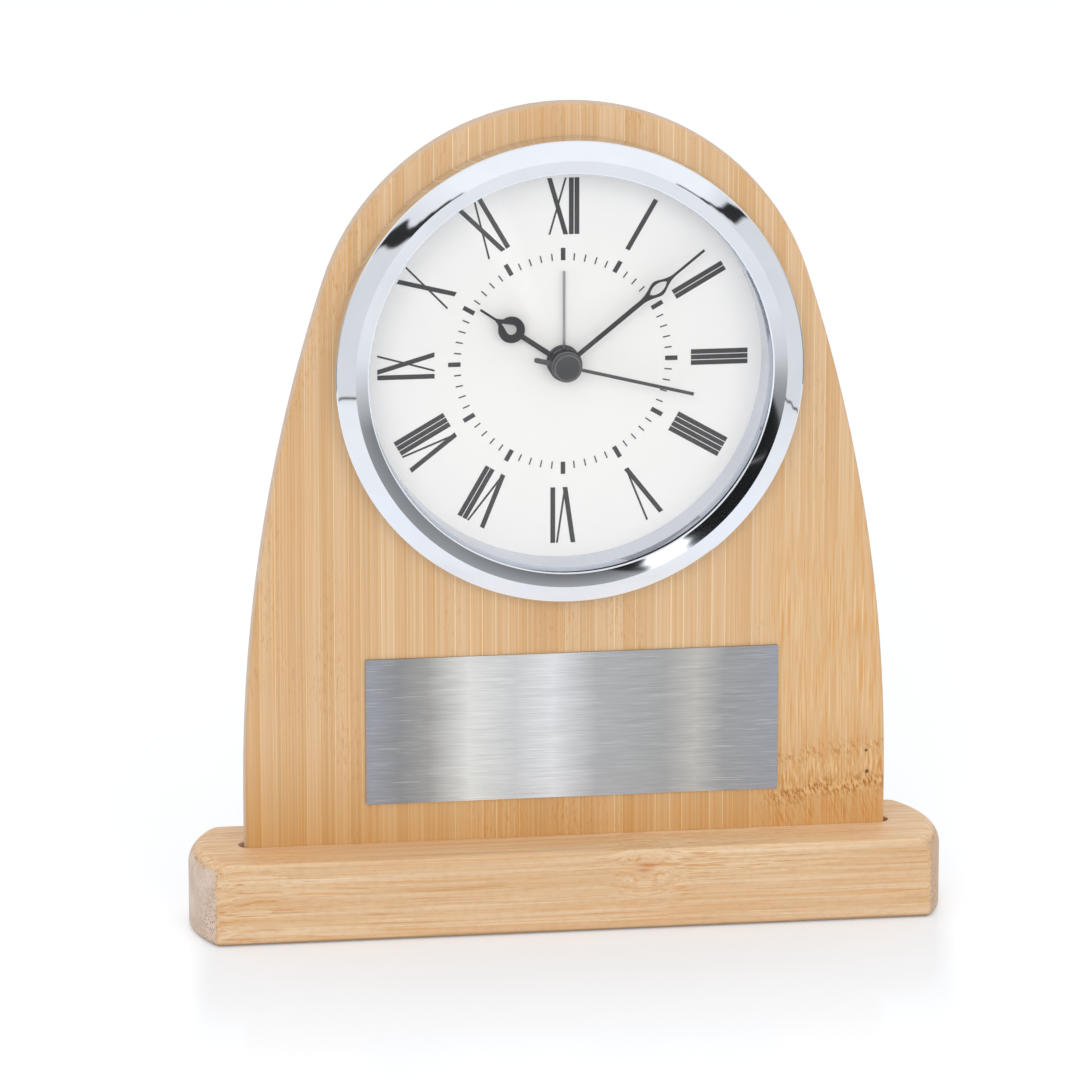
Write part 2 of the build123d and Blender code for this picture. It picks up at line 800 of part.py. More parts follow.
def rotor():
    body = pinion(fifth_level, rotor_place, fifth_place, rotor_pinion_teeth, fifth_wheel_teeth)
    body += disc(rotor_radius, rotor_level, rotor_level + wheel_stock, rotor_place)
    return body + disc(fine_arbor_radius, middle_plate_front, lid_back, rotor_place)


# Hands, drawn pointing at twelve
def hand(outline, bore, angle, lift):
    outline = Rot(0, 0, -angle) * outline - Circle(bore + press_clearance)
    back = dial_front - lift
    return slab(outline, back - hand_stock, back)


def stick(width, start, end):
    return Pos(0, (start + end) / 2) * Rectangle(width, end - start)


def alarm_hand():
    outline = Circle(alarm_hub_radius) + stick(alarm_hand_width, 0, alarm_hand_length)
    return hand(outline, alarm_pipe_radius, alarm_rest_angle, alarm_hand_lift)


def hour_spade():
    """Hollow-sided point between the ring and the needle of the hour hand."""
    half = needle_width / 2
    side = hour_ring_radius * math.cos(math.radians(30))
    rise = hour_ring_distance + hour_ring_radius * math.sin(math.radians(30))
    waist_x = (side + half) / 2 - hour_waist_inset
    waist = (waist_x, (rise + hour_neck_distance) / 2 - hour_waist_drop)
    edges = [
        Line((-side, rise), (side, rise)),
        ThreePointArc((side, rise), waist, (half, hour_neck_distance)),
        Line((half, hour_neck_distance), (-half, hour_neck_distance)),
        ThreePointArc((-half, hour_neck_distance), (-waist[0], waist[1]), (-side, rise)),
    ]
    return make_face(edges)


def hour_eye():
    """Drop-shaped opening of the hour hand's ring."""
    side = hour_eye_radius * math.cos(math.radians(30))
    rise = hour_ring_distance + hour_eye_radius * math.sin(math.radians(30))
    point = make_face(Polyline((-side, rise), (side, rise), (0, hour_eye_tip), close=True))
    return Pos(0, hour_ring_distance) * Circle(hour_eye_radius) + point


def hour_hand():
    outline = Circle(hour_hub_radius) + stick(hour_stem_width, 0, hour_ring_distance)
    outline += Pos(0, hour_ring_distance) * Circle(hour_ring_radius)
    outline += hour_spade()
    outline += stick(needle_width, hour_ring_distance + hour_ring_radius, hour_hand_length)
    outline -= hour_eye()
    return hand(outline, hour_pipe_radius, hour_rest_angle, hour_hand_lift)


def minute_leaf():
    half = minute_leaf_width / 2
    stem = minute_stem_width / 2
    tip = needle_width / 2
    right = Spline(
        (stem, minute_leaf_start), (half, minute_leaf_middle), (tip, minute_leaf_end),
        tangents=[(0, 1), (0, 1)])
    left = Spline(
        (-tip, minute_leaf_end), (-half, minute_leaf_middle), (-stem, minute_leaf_start),
        tangents=[(0, -1), (0, -1)])
    bottom = Line((-stem, minute_leaf_start), (stem, minute_leaf_start))
    top = Line((tip, minute_leaf_end), (-tip, minute_leaf_end))
    return make_face([bottom, right, top, left])


def minute_eye():
    half = minute_eye_length / 2
    low = (0, minute_leaf_middle - half)
    high = (0, minute_leaf_middle + half)
    right = ThreePointArc(low, (minute_eye_width / 2, minute_leaf_middle), high)
    left = ThreePointArc(high, (-minute_eye_width / 2, minute_leaf_middle), low)
    return make_face([right, left])


def minute_hand():
    outline = Circle(minute_hub_radius) + stick(minute_stem_width, 0, minute_leaf_start)
    outline += minute_leaf()
    outline += stick(needle_width, minute_leaf_end, minute_hand_length)
    outline -= minute_eye()
    return hand(outline, minute_pipe_radius, minute_rest_angle, minute_hand_lift)


def second_hand():
    outline = Circle(second_hub_radius) + stick(second_hand_width, 0, second_hand_length)
    tail = second_tail_length - second_tail_width / 2
    outline += stick(second_tail_width, -tail, 0)
    outline += Pos(0, -tail) * Circle(second_tail_width / 2)
    return hand(outline, fine_arbor_radius, second_rest_angle, second_hand_lift)


def second_hand_cap():
    back = dial_front - second_hand_lift - hand_stock
    cap = disc(cap_radius, back - cap_height, back)
    front_edge = cap.edges().filter_by(GeomType.CIRCLE).sort_by(Axis.Y)[0]
    return fillet(front_edge, cap_round)


# Motor and circuit
def stator():
    """Flat iron yoke: a bar around the rotor and two legs up to the coil core."""
    right = rotor_place[0] + stator_half_height
    low = rotor_place[1] - stator_half_height
    high = rotor_place[1] + stator_half_height
    bar = Pos((stator_left + right) / 2, rotor_place[1]) * Rectangle(right - stator_left, high - low)
    for left in (stator_left, right_leg_left):
        bar += Pos(left + leg_width / 2, (rotor_place[1] + leg_top) / 2) * Rectangle(
            leg_width, leg_top - rotor_place[1])
    bar -= Pos(*rotor_place) * Circle(rotor_radius + rotor_air_gap)
    return slab(bar, rotor_level, rotor_level + wheel_stock)


def core_centre():
    right = right_leg_left + leg_width
    return ((stator_left + right) / 2, leg_top - core_height / 2)


def coil_core():
    length = right_leg_left + leg_width - stator_left
    return block(length, core_height, rotor_level - core_stock, rotor_level, core_centre())


def drive_coil():
    """Bobbin wound on the core between the two legs."""
    length = right_leg_left - stator_left - leg_width - 2 * ring_clearance
    x, z = core_centre()
    depth = rotor_level - core_stock / 2
    bobbin = Rot(0, 90, 0) * Cylinder(coil_radius, length)
    bore = Box(
        2 * length, core_stock + 2 * coil_bore_clearance, core_height + 2 * coil_bore_clearance)
    return Pos(x, panel_front + depth, dial_height + z) * (bobbin - bore)


def circuit_board():
    return block(board_width, board_height, lid_front - board_stock, lid_front, board_centre)


def control_chip():
    front = lid_front - board_stock
    return block(chip_side, chip_side, front - chip_height, front, moved(board_centre, chip_shift))


def quartz_crystal():
    x, z = moved(board_centre, crystal_shift)
    depth = lid_front - board_stock - crystal_radius
    can = Rot(0, 90, 0) * Cylinder(crystal_radius, crystal_length)
    return Pos(x, panel_front + depth, dial_height + z) * can


def buzzer():
    return disc(buzzer_radius, cup_depth - buzzer_height, cup_depth, buzzer_centre)


# Battery
def battery_cell():
    body = cell_cylinder(cell_radius, -cell_length / 2, cell_length / 2)
    return body + cell_cylinder(cell_nub_radius, cell_length / 2, cell_length / 2 + cell_nub_length)


def battery_contacts():
    """Spring-topped plate at one end of the bay, flat plate at the other."""
    depth = (floor_back + cup_depth) / 2
    plates = []
    for side in (-1, 1):
        plate = Box(contact_stock, cup_depth - floor_back - 4 * ring_clearance, contact_width)
        middle = side * (bay_wall_x - contact_stock / 2)
        plates.append(Pos(middle, panel_front + depth, dial_height - cell_drop) * plate)
    inner = -(bay_wall_x - contact_stock)
    plates[0] += cell_cylinder(contact_spring_radius, inner, inner + contact_spring_length)
    return Compound(children=plates)


# Rear cover and controls
def door_place():
    return (0.0, -cell_drop)


def rear_cover():
    """Round plate over the back of the cup, with the battery opening and the control holes."""
    body = disc(barrel_radius, cup_depth, cover_back)
    rim = body.edges().filter_by(GeomType.CIRCLE).sort_by(Axis.Y)[-1]
    body = fillet(rim, cover_round)
    for side in (-1, 1):
        body += disc(cover_post_radius, lid_back, cup_depth, (side * cover_post_offset, pillar_top))
    shaft_hole = set_arbor_radius + control_clearance
    for place in (minute_wheel_place, alarm_arbor_place):
        body -= disc(shaft_hole, cup_depth, cover_back, place)
    opening = Rectangle(door_width - 2 * door_rim, door_height - 2 * door_rim)
    body -= slab(Pos(*door_place()) * opening, cup_depth, cover_back)
    recess_width = door_width + 2 * ring_clearance
    top = door_height / 2 + ring_clearance - cell_drop
    recess = Pos(0, top - barrel_radius / 2) * Rectangle(recess_width, barrel_radius)
    body -= slab(recess, cover_back - door_stock - ring_clearance, cover_back)
    slot_width = switch_stem[0] + switch_travel + 2 * control_clearance
    slot = Rectangle(slot_width, switch_stem[1] + 2 * control_clearance)
    body -= slab(Pos(*switch_centre) * slot, cup_depth, cover_back)
    for place in boss_places:
        head_seat = cover_back - cover_screw_head_height
        body -= disc(cover_screw_radius + ring_clearance, cup_depth, cover_back, place)
        body -= disc(cover_screw_head_radius + ring_clearance, head_seat, cover_back, place)
    return body


def cover_screws():
    seat = cover_back - cover_screw_head_height
    reach = seat - cup_depth + cover_screw_reach
    screws = []
    for place in boss_places:
        screws.append(cross_headed_screw(
            place, seat, cover_screw_head_radius, cover_screw_head_height, cover_screw_radius, reach))
    return Compound(children=screws)


def battery_door():
    """Plate that slides down out of the cover, with finger grooves near its top edge."""
    front = cover_back - door_stock
    body = block(door_width, door_height, front, cover_back, door_place())
    first_groove = door_place()[1] + door_height / 2 - door_groove_inset
    groove_floor = cover_back - door_groove_depth
    for i in range(door_groove_count):
        place = (0.0, first_groove - i * door_groove_pitch)
        body -= block(door_groove_length, door_groove_width, groove_floor, cover_back, place)
    return body


def control_knob(place):
    """Ribbed knob pressed on the back end of an arbor."""
    outline = Circle(knob_radius)
    for i in range(knob_ribs):
        outline -= Pos(*polar(knob_radius, i * 360 / knob_ribs)) * Circle(knob_rib_depth)
    body = slab(Pos(*place) * outline, knob_front, knob_back)
    return body - disc(set_arbor_radius + press_clearance, knob_front, knob_front + knob_socket_depth, place)


def time_set_knob():
    return control_knob(minute_wheel_place)


def alarm_set_knob():
    return control_knob(alarm_arbor_place)


def alarm_switch():
    """Slider at the left end of its slot: tab outside, flange inside the cover."""
    place = moved(switch_centre, (-switch_travel / 2, 0.0))
    tab_front = cover_back + ring_clearance
    flange_back = cup_depth - ring_clearance
    body = block(*switch_tab, tab_front, tab_front + switch_tab_height, place)
    body += block(*switch_stem, flange_back, tab_front, place)
    return body + block(*switch_flange, flange_back - switch_flange_stock, flange_back, place)


pieces = {
    "base_block": base_block,
    "arch_panel": arch_panel,
    "base_screws": base_screws,
    "engraving_plate": engraving_plate,
    "plate_tape": plate_tape,
    "bezel_ring": bezel_ring,
    "lens": lens,
    "dial_spacer_ring": dial_spacer_ring,
    "dial_disc": dial_disc,
    "dial_numerals": dial_numerals,
    "dial_minute_track": dial_minute_track,
    "insert_cup": insert_cup,
    "grip_gasket": grip_gasket,
    "movement_housing": movement_housing,
    "movement_middle_plate": movement_middle_plate,
    "movement_lid": movement_lid,
    "movement_screws": movement_screws,
    "alarm_wheel": alarm_wheel,
    "hour_wheel": hour_wheel,
    "centre_wheel": centre_wheel,
    "minute_wheel": minute_wheel,
    "alarm_set_arbor": alarm_set_arbor,
    "third_wheel": third_wheel,
    "second_wheel": second_wheel,
    "fifth_wheel": fifth_wheel,
    "rotor": rotor,
    "stator": stator,
    "coil_core": coil_core,
    "drive_coil": drive_coil,
    "circuit_board": circuit_board,
    "control_chip": control_chip,
    "quartz_crystal": quartz_crystal,
    "buzzer": buzzer,
    "alarm_hand": alarm_hand,
    "hour_hand": hour_hand,
    "minute_hand": minute_hand,
    "second_hand": second_hand,
    "second_hand_cap": second_hand_cap,
    "battery_cell": battery_cell,
    "battery_contacts": battery_contacts,
    "rear_cover": rear_cover,
    "cover_screws": cover_screws,
    "battery_door": battery_door,
    "time_set_knob": time_set_knob,
    "alarm_set_knob": alarm_set_knob,
    "alarm_switch": alarm_switch,
}

os.makedirs("parts", exist_ok=True)
for name, make in pieces.items():
    export_step(make(), f"parts/{name}.step")
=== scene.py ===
import json
import math

import bpy
import numpy as np
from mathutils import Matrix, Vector


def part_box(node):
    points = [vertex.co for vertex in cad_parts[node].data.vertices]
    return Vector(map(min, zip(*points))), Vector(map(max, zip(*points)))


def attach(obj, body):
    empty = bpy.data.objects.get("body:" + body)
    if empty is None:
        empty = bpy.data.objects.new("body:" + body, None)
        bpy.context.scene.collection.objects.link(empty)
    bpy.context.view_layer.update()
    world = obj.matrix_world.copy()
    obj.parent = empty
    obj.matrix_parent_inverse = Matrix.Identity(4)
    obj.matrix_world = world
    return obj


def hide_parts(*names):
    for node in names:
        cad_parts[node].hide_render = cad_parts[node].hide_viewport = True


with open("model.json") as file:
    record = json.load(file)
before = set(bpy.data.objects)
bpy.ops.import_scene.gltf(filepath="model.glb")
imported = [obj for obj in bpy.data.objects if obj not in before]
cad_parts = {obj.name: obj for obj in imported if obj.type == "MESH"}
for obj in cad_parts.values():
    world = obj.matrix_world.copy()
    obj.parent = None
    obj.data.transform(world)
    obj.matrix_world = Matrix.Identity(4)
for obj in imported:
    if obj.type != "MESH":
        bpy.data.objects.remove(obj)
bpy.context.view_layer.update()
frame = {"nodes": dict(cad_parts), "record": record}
nodes = frame["nodes"]

MM = 0.001
dial_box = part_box("dial_disc")
dial_z = (dial_box[0].z + dial_box[1].z) / 2
panel_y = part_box("arch_panel")[0].y


# Colours are written as they look on screen, 0 to 255
def srgb(red, green, blue):
    def linear(value):
        value /= 255
        return value / 12.92 if value <= 0.04045 else ((value + 0.055) / 1.055) ** 2.4
    return (linear(red), linear(green), linear(blue), 1.0)


class Material:
    """Small helper that wires shader nodes; coordinates are in millimetres of the clock's frame."""

    def __init__(self, name):
        self.material = bpy.data.materials.new(name)
        self.material.use_nodes = True
        self.tree = self.material.node_tree
        self.tree.nodes.clear()
        self.output = self.tree.nodes.new("ShaderNodeOutputMaterial")
        coordinate = self.tree.nodes.new("ShaderNodeTexCoord")
        self.normal = coordinate.outputs["Normal"]
        self.place = self.vector("MULTIPLY", coordinate.outputs["Object"], (1000.0, 1000.0, 1000.0))
        self.x, self.y, self.z = self.split(self.place)

    def put(self, socket, value):
        """Link another node's output to a socket, or set the socket to a value."""
        if isinstance(value, bpy.types.NodeSocket):
            self.tree.links.new(value, socket)
        else:
            socket.default_value = value

    def vector(self, operation, first, second):
        node = self.tree.nodes.new("ShaderNodeVectorMath")
        node.operation = operation
        self.put(node.inputs[0], first)
        self.put(node.inputs[1], second)
        return node.outputs[0]

    def math(self, operation, first, second=0.0, third=0.0):
        node = self.tree.nodes.new("ShaderNodeMath")
        node.operation = operation
        for socket, value in zip(node.inputs, (first, second, third)):
            self.put(socket, value)
        return node.outputs[0]

    def scaled(self, value, factor, start):
        """Value times a factor, plus a start."""
        return self.math("MULTIPLY_ADD", value, factor, start)

    def join(self, x, y, z):
        node = self.tree.nodes.new("ShaderNodeCombineXYZ")
        for socket, value in zip(node.inputs, (x, y, z)):
            self.put(socket, value)
        return node.outputs[0]

    def stretched(self, scale, shift=(0.0, 0.0, 0.0), place=None):
        """Place in counts per millimetre along X, Y and Z, shifted to another part of a pattern."""
        scaled = self.vector("MULTIPLY", place or self.place, scale)
        return self.vector("ADD", scaled, shift)

    def noise(self, place, detail=2.0, roughness=0.5):
        node = self.tree.nodes.new("ShaderNodeTexNoise")
        self.put(node.inputs["Vector"], place)
        node.inputs["Scale"].default_value = 1.0
        node.inputs["Detail"].default_value = detail
        node.inputs["Roughness"].default_value = roughness
        return node.outputs["Fac"]

    def cells(self, place, feature="F1", dimensions="3D", randomness=1.0):
        node = self.tree.nodes.new("ShaderNodeTexVoronoi")
        node.feature = feature
        node.voronoi_dimensions = dimensions
        node.inputs["Scale"].default_value = 1.0
        node.inputs["Randomness"].default_value = randomness
        self.put(node.inputs["W" if dimensions == "1D" else "Vector"], place)
        return node

    def range(self, value, low, high, start=0.0, end=1.0):
        """Smooth change from start to end as a value goes from low to high."""
        node = self.tree.nodes.new("ShaderNodeMapRange")
        node.interpolation_type = "SMOOTHSTEP"
        for socket, number in zip(node.inputs, (value, low, high, start, end)):
            self.put(socket, number)
        return node.outputs[0]

    def ramp(self, value, stops):
        """Colour of a value on a line of (position, colour) stops."""
        node = self.tree.nodes.new("ShaderNodeValToRGB")
        points = node.color_ramp.elements
        points[0].position, points[0].color = stops[0]
        points[1].position, points[1].color = stops[-1]
        for position, colour in stops[1:-1]:
            point = points.new(position)
            point.color = colour
        self.put(node.inputs[0], value)
        return node.outputs[0]

    def mix(self, share, first, second, blend="MIX"):
        node = self.tree.nodes.new("ShaderNodeMix")
        node.data_type = "RGBA"
        node.blend_type = blend
        self.put(node.inputs[0], share)
        self.put(node.inputs[6], first)
        self.put(node.inputs[7], second)
        return node.outputs[2]

    def grey(self, value):
        return self.join(value, value, value)

    def bump(self, height, strength, distance_mm):
        node = self.tree.nodes.new("ShaderNodeBump")
        node.inputs["Strength"].default_value = strength
        node.inputs["Distance"].default_value = distance_mm * MM
        self.put(node.inputs["Height"], height)
        return node.outputs[0]

    def surface(self, colour, roughness, normal=None, **constants):
        """Finished material; constants are set on the shader's sockets of those names."""
        shader = self.tree.nodes.new("ShaderNodeBsdfPrincipled")
        self.put(shader.inputs["Base Color"], colour)
        self.put(shader.inputs["Roughness"], roughness)
        if normal is not None:
            self.put(shader.inputs["Normal"], normal)
        for name, value in constants.items():
            shader.inputs[name.replace("_", " ")].default_value = value
        self.tree.links.new(shader.outputs[0], self.output.inputs[0])
        return self.material

    def product(self, *values):
        total = values[0]
        for value in values[1:]:
            total = self.math("MULTIPLY", total, value)
        return total

    def sum(self, *pairs):
        """Values added up, each times its share."""
        total = self.math("MULTIPLY", *pairs[0])
        for value, share in pairs[1:]:
            total = self.math("ADD", total, self.math("MULTIPLY", value, share))
        return total

    def split(self, vector):
        node = self.tree.nodes.new("ShaderNodeSeparateXYZ")
        self.put(node.inputs[0], vector)
        return node.outputs

    def strips(self, across):
        """Strips of random width: a random value for each, and the distance to its joint."""
        cell = self.cells(across, dimensions="1D")
        tint = self.tree.nodes.new("ShaderNodeSeparateColor")
        self.put(tint.inputs[0], cell.outputs["Color"])
        joint = self.cells(across, feature="DISTANCE_TO_EDGE", dimensions="1D")
        return tint.outputs[0], joint.outputs["Distance"]

    def shaded(self, colour, value, amount):
        """Colour made lighter and darker by a value that is 0.5 on average."""
        shade = self.scaled(value, amount, 1.0 - amount / 2)
        return self.mix(1.0, colour, self.grey(shade), "MULTIPLY")

    def over(self, colour, paint, *shares):
        """Colour with paint laid over it, as strong as the product of the shares."""
        return self.mix(self.product(*shares), colour, paint)

    def hump(self, value, middle, width):
        """Bell curve of a coordinate round a middle."""
        offset = self.math("DIVIDE", self.math("SUBTRACT", value, middle), width)
        square = self.math("MULTIPLY", offset, offset)
        return self.math("POWER", math.e, self.math("MULTIPLY", square, -1.0))

    def wobble(self, place, amount, detail=1.0):
        """Noise between minus and plus half the amount."""
        return self.math("MULTIPLY", self.math("SUBTRACT", self.noise(place, detail), 0.5), amount)


# Wood
def bamboo_panel():
    """Upright strips with pale glue lines, and flat grain at the lower right."""
    m = Material("bamboo_panel")
    strip_width = 3.2
    flat_left, flat_top, foot_shade_top = (42.0, 48.0), (66.0, 110.0), (17.0, 48.0)
    x = m.math("ADD", m.x, m.wobble(m.stretched((0.04, 0.04, 0.009)), 1.0))
    place = m.join(x, m.y, m.z)
    flat_grain = m.product(m.range(m.x, *flat_left), m.range(m.z, *flat_top, 1.0, 0.0))
    upright = m.math("SUBTRACT", 1.0, flat_grain)
    tint, joint = m.strips(m.math("DIVIDE", x, strip_width))
    fibres = m.noise(m.stretched((3.6, 3.6, 0.022), place=place), detail=5.0, roughness=0.7)
    middle = m.noise(m.stretched((1.5, 1.5, 0.007), place=place))
    tone = m.sum((tint, 0.22), (middle, 0.46), (fibres, 0.34))
    colour = m.ramp(tone, [
        (0.3, srgb(209, 165, 114)), (0.52, srgb(219, 181, 138)), (0.74, srgb(226, 193, 155))])
    colour = m.over(colour, srgb(220, 180, 131), flat_grain, 0.6)
    colour = m.shaded(colour, fibres, 0.22)
    # Fibre ends that the cut leaves as faint dark flecks
    fleck = m.noise(m.stretched((2.9, 2.9, 0.42), (4.0, 0.0, 2.0), place))
    patch = m.range(m.noise(m.stretched((0.05, 0.05, 0.018), (2.0, 0.0, 5.0))), 0.48, 0.62)
    colour = m.over(colour, srgb(192, 134, 78), patch, upright, m.range(fleck, 0.55, 0.68, 0.0, 0.5))
    # Thin orange lines along the fibres
    streak = m.noise(m.stretched((4.2, 4.2, 0.012), (3.0, 0.0, 0.0), place))
    colour = m.over(colour, srgb(220, 158, 84), upright, m.range(streak, 0.57, 0.66, 0.0, 0.6))
    # Pale glue lines between the strips, and finer ones inside them
    steady = m.range(m.noise(m.stretched((0.9, 0.9, 0.014), (0.0, 0.0, 7.0))), 0.32, 0.55, 0.35, 1.0)
    line = m.product(m.range(joint, 0.016, 0.036, 1.0, 0.0), m.range(tint, 0.08, 0.4, 0.2, 1.0), steady)
    line = m.product(line, m.range(upright, 0.0, 1.0, 0.1, 0.66))
    colour = m.mix(line, colour, srgb(249, 230, 194))
    for pitch, shift, strength in ((1.3, 0.0, 0.42), (1.9, 31.0, 0.38)):
        along = m.math("ADD", m.math("DIVIDE", x, pitch), shift)
        fine_tint, fine_joint = m.strips(along)
        hair = m.range(fine_joint, 0.03, 0.06, 1.0, 0.0)
        shown = m.range(fine_tint, 0.45, 0.75, 0.0, strength)
        colour = m.over(colour, srgb(245, 221, 181), hair, shown, upright, steady)
    # Flat grain at the right: short orange streaks
    dash = m.noise(m.stretched((3.6, 3.6, 0.085), (9.0, 0.0, 4.0), place))
    colour = m.over(colour, srgb(219, 153, 76), flat_grain, m.range(dash, 0.53, 0.63, 0.0, 0.72))
    glint = m.noise(m.stretched((3.0, 3.0, 0.05), (1.0, 0.0, 8.0), place))
    colour = m.over(colour, srgb(240, 210, 163), flat_grain, m.range(glint, 0.54, 0.64, 0.0, 0.55))
    colour = cane_node(m, colour)
    # Deeper tone towards the foot: partly the wood's own, partly painted shade and painted warm light from
    # the base below
    foot = m.range(m.z, *foot_shade_top, 0.9, 0.0)
    colour = m.mix(foot, colour, (0.86, 0.77, 0.57, 1.0), "MULTIPLY")
    # Sawn edge of the board
    facing = m.split(m.normal)[1]
    edge = m.range(m.math("ABSOLUTE", facing), 0.35, 0.8, 0.6, 0.0)
    colour = m.mix(edge, colour, srgb(227, 203, 182))
    height = m.sum((fibres, 1.0), (line, 0.4))
    return m.surface(
        colour, m.scaled(fibres, 0.16, 0.42), m.bump(height, 0.22, 0.07), Specular_IOR_Level=0.35)


def cane_node(m, colour):
    """Node of the cane right of the plate: two ragged bands of dashes with pale streaks between."""
    left_edge, middle_x, rise, lean = (41.0, 49.0), 60.0, 0.09, 0.25
    z = m.math("ADD", m.z, m.wobble(m.stretched((0.16, 0.0, 0.02), (5.0, 0.0, 0.0)), 4.0, 2.0))
    z = m.math("SUBTRACT", z, m.math("MULTIPLY", m.math("SUBTRACT", m.x, middle_x), rise))
    leaning = m.join(m.scaled(m.z, lean, m.x), m.y, m.z)
    right = m.range(m.x, *left_edge)
    below, low, between, high = [
        m.product(right, m.hump(z, middle_z, width))
        for middle_z, width in ((21.5, 4.0), (26.6, 1.9), (30.6, 3.6), (35.2, 1.8))]
    stripe = m.noise(m.stretched((2.9, 2.9, 0.3), (2.0, 0.0, 1.0)))
    colour = m.over(colour, srgb(243, 214, 168), between, m.range(stripe, 0.52, 0.64, 0.0, 0.72))
    colour = m.over(colour, srgb(205, 141, 72), between, m.range(stripe, 0.36, 0.47, 0.72, 0.0))
    dash = m.noise(m.stretched((1.9, 1.9, 0.75), (7.0, 0.0, 3.0), leaning))
    colour = m.over(colour, srgb(174, 108, 48), low, m.range(dash, 0.49, 0.58, 0.0, 0.85))
    colour = m.over(colour, srgb(238, 204, 152), low, m.range(dash, 0.36, 0.45, 0.8, 0.0))
    fleck = m.noise(m.stretched((2.2, 2.2, 0.8), (1.0, 0.0, 9.0), leaning))
    colour = m.over(colour, srgb(196, 132, 68), high, m.range(fleck, 0.5, 0.62, 0.0, 0.7))
    torn = m.noise(m.stretched((2.4, 2.4, 0.22), (6.0, 0.0, 2.0), leaning))
    colour = m.over(colour, srgb(206, 142, 72), below, m.range(torn, 0.52, 0.64, 0.0, 0.7))
    for x, height, size in ((67.4, 34.8, 0.42), (67.6, 29.9, 0.55)):
        pit = m.product(m.hump(m.x, x, size), m.hump(m.z, height, size))
        colour = m.over(colour, srgb(88, 58, 40), m.range(pit, 0.3, 0.75, 0.0, 0.9))
    return colour


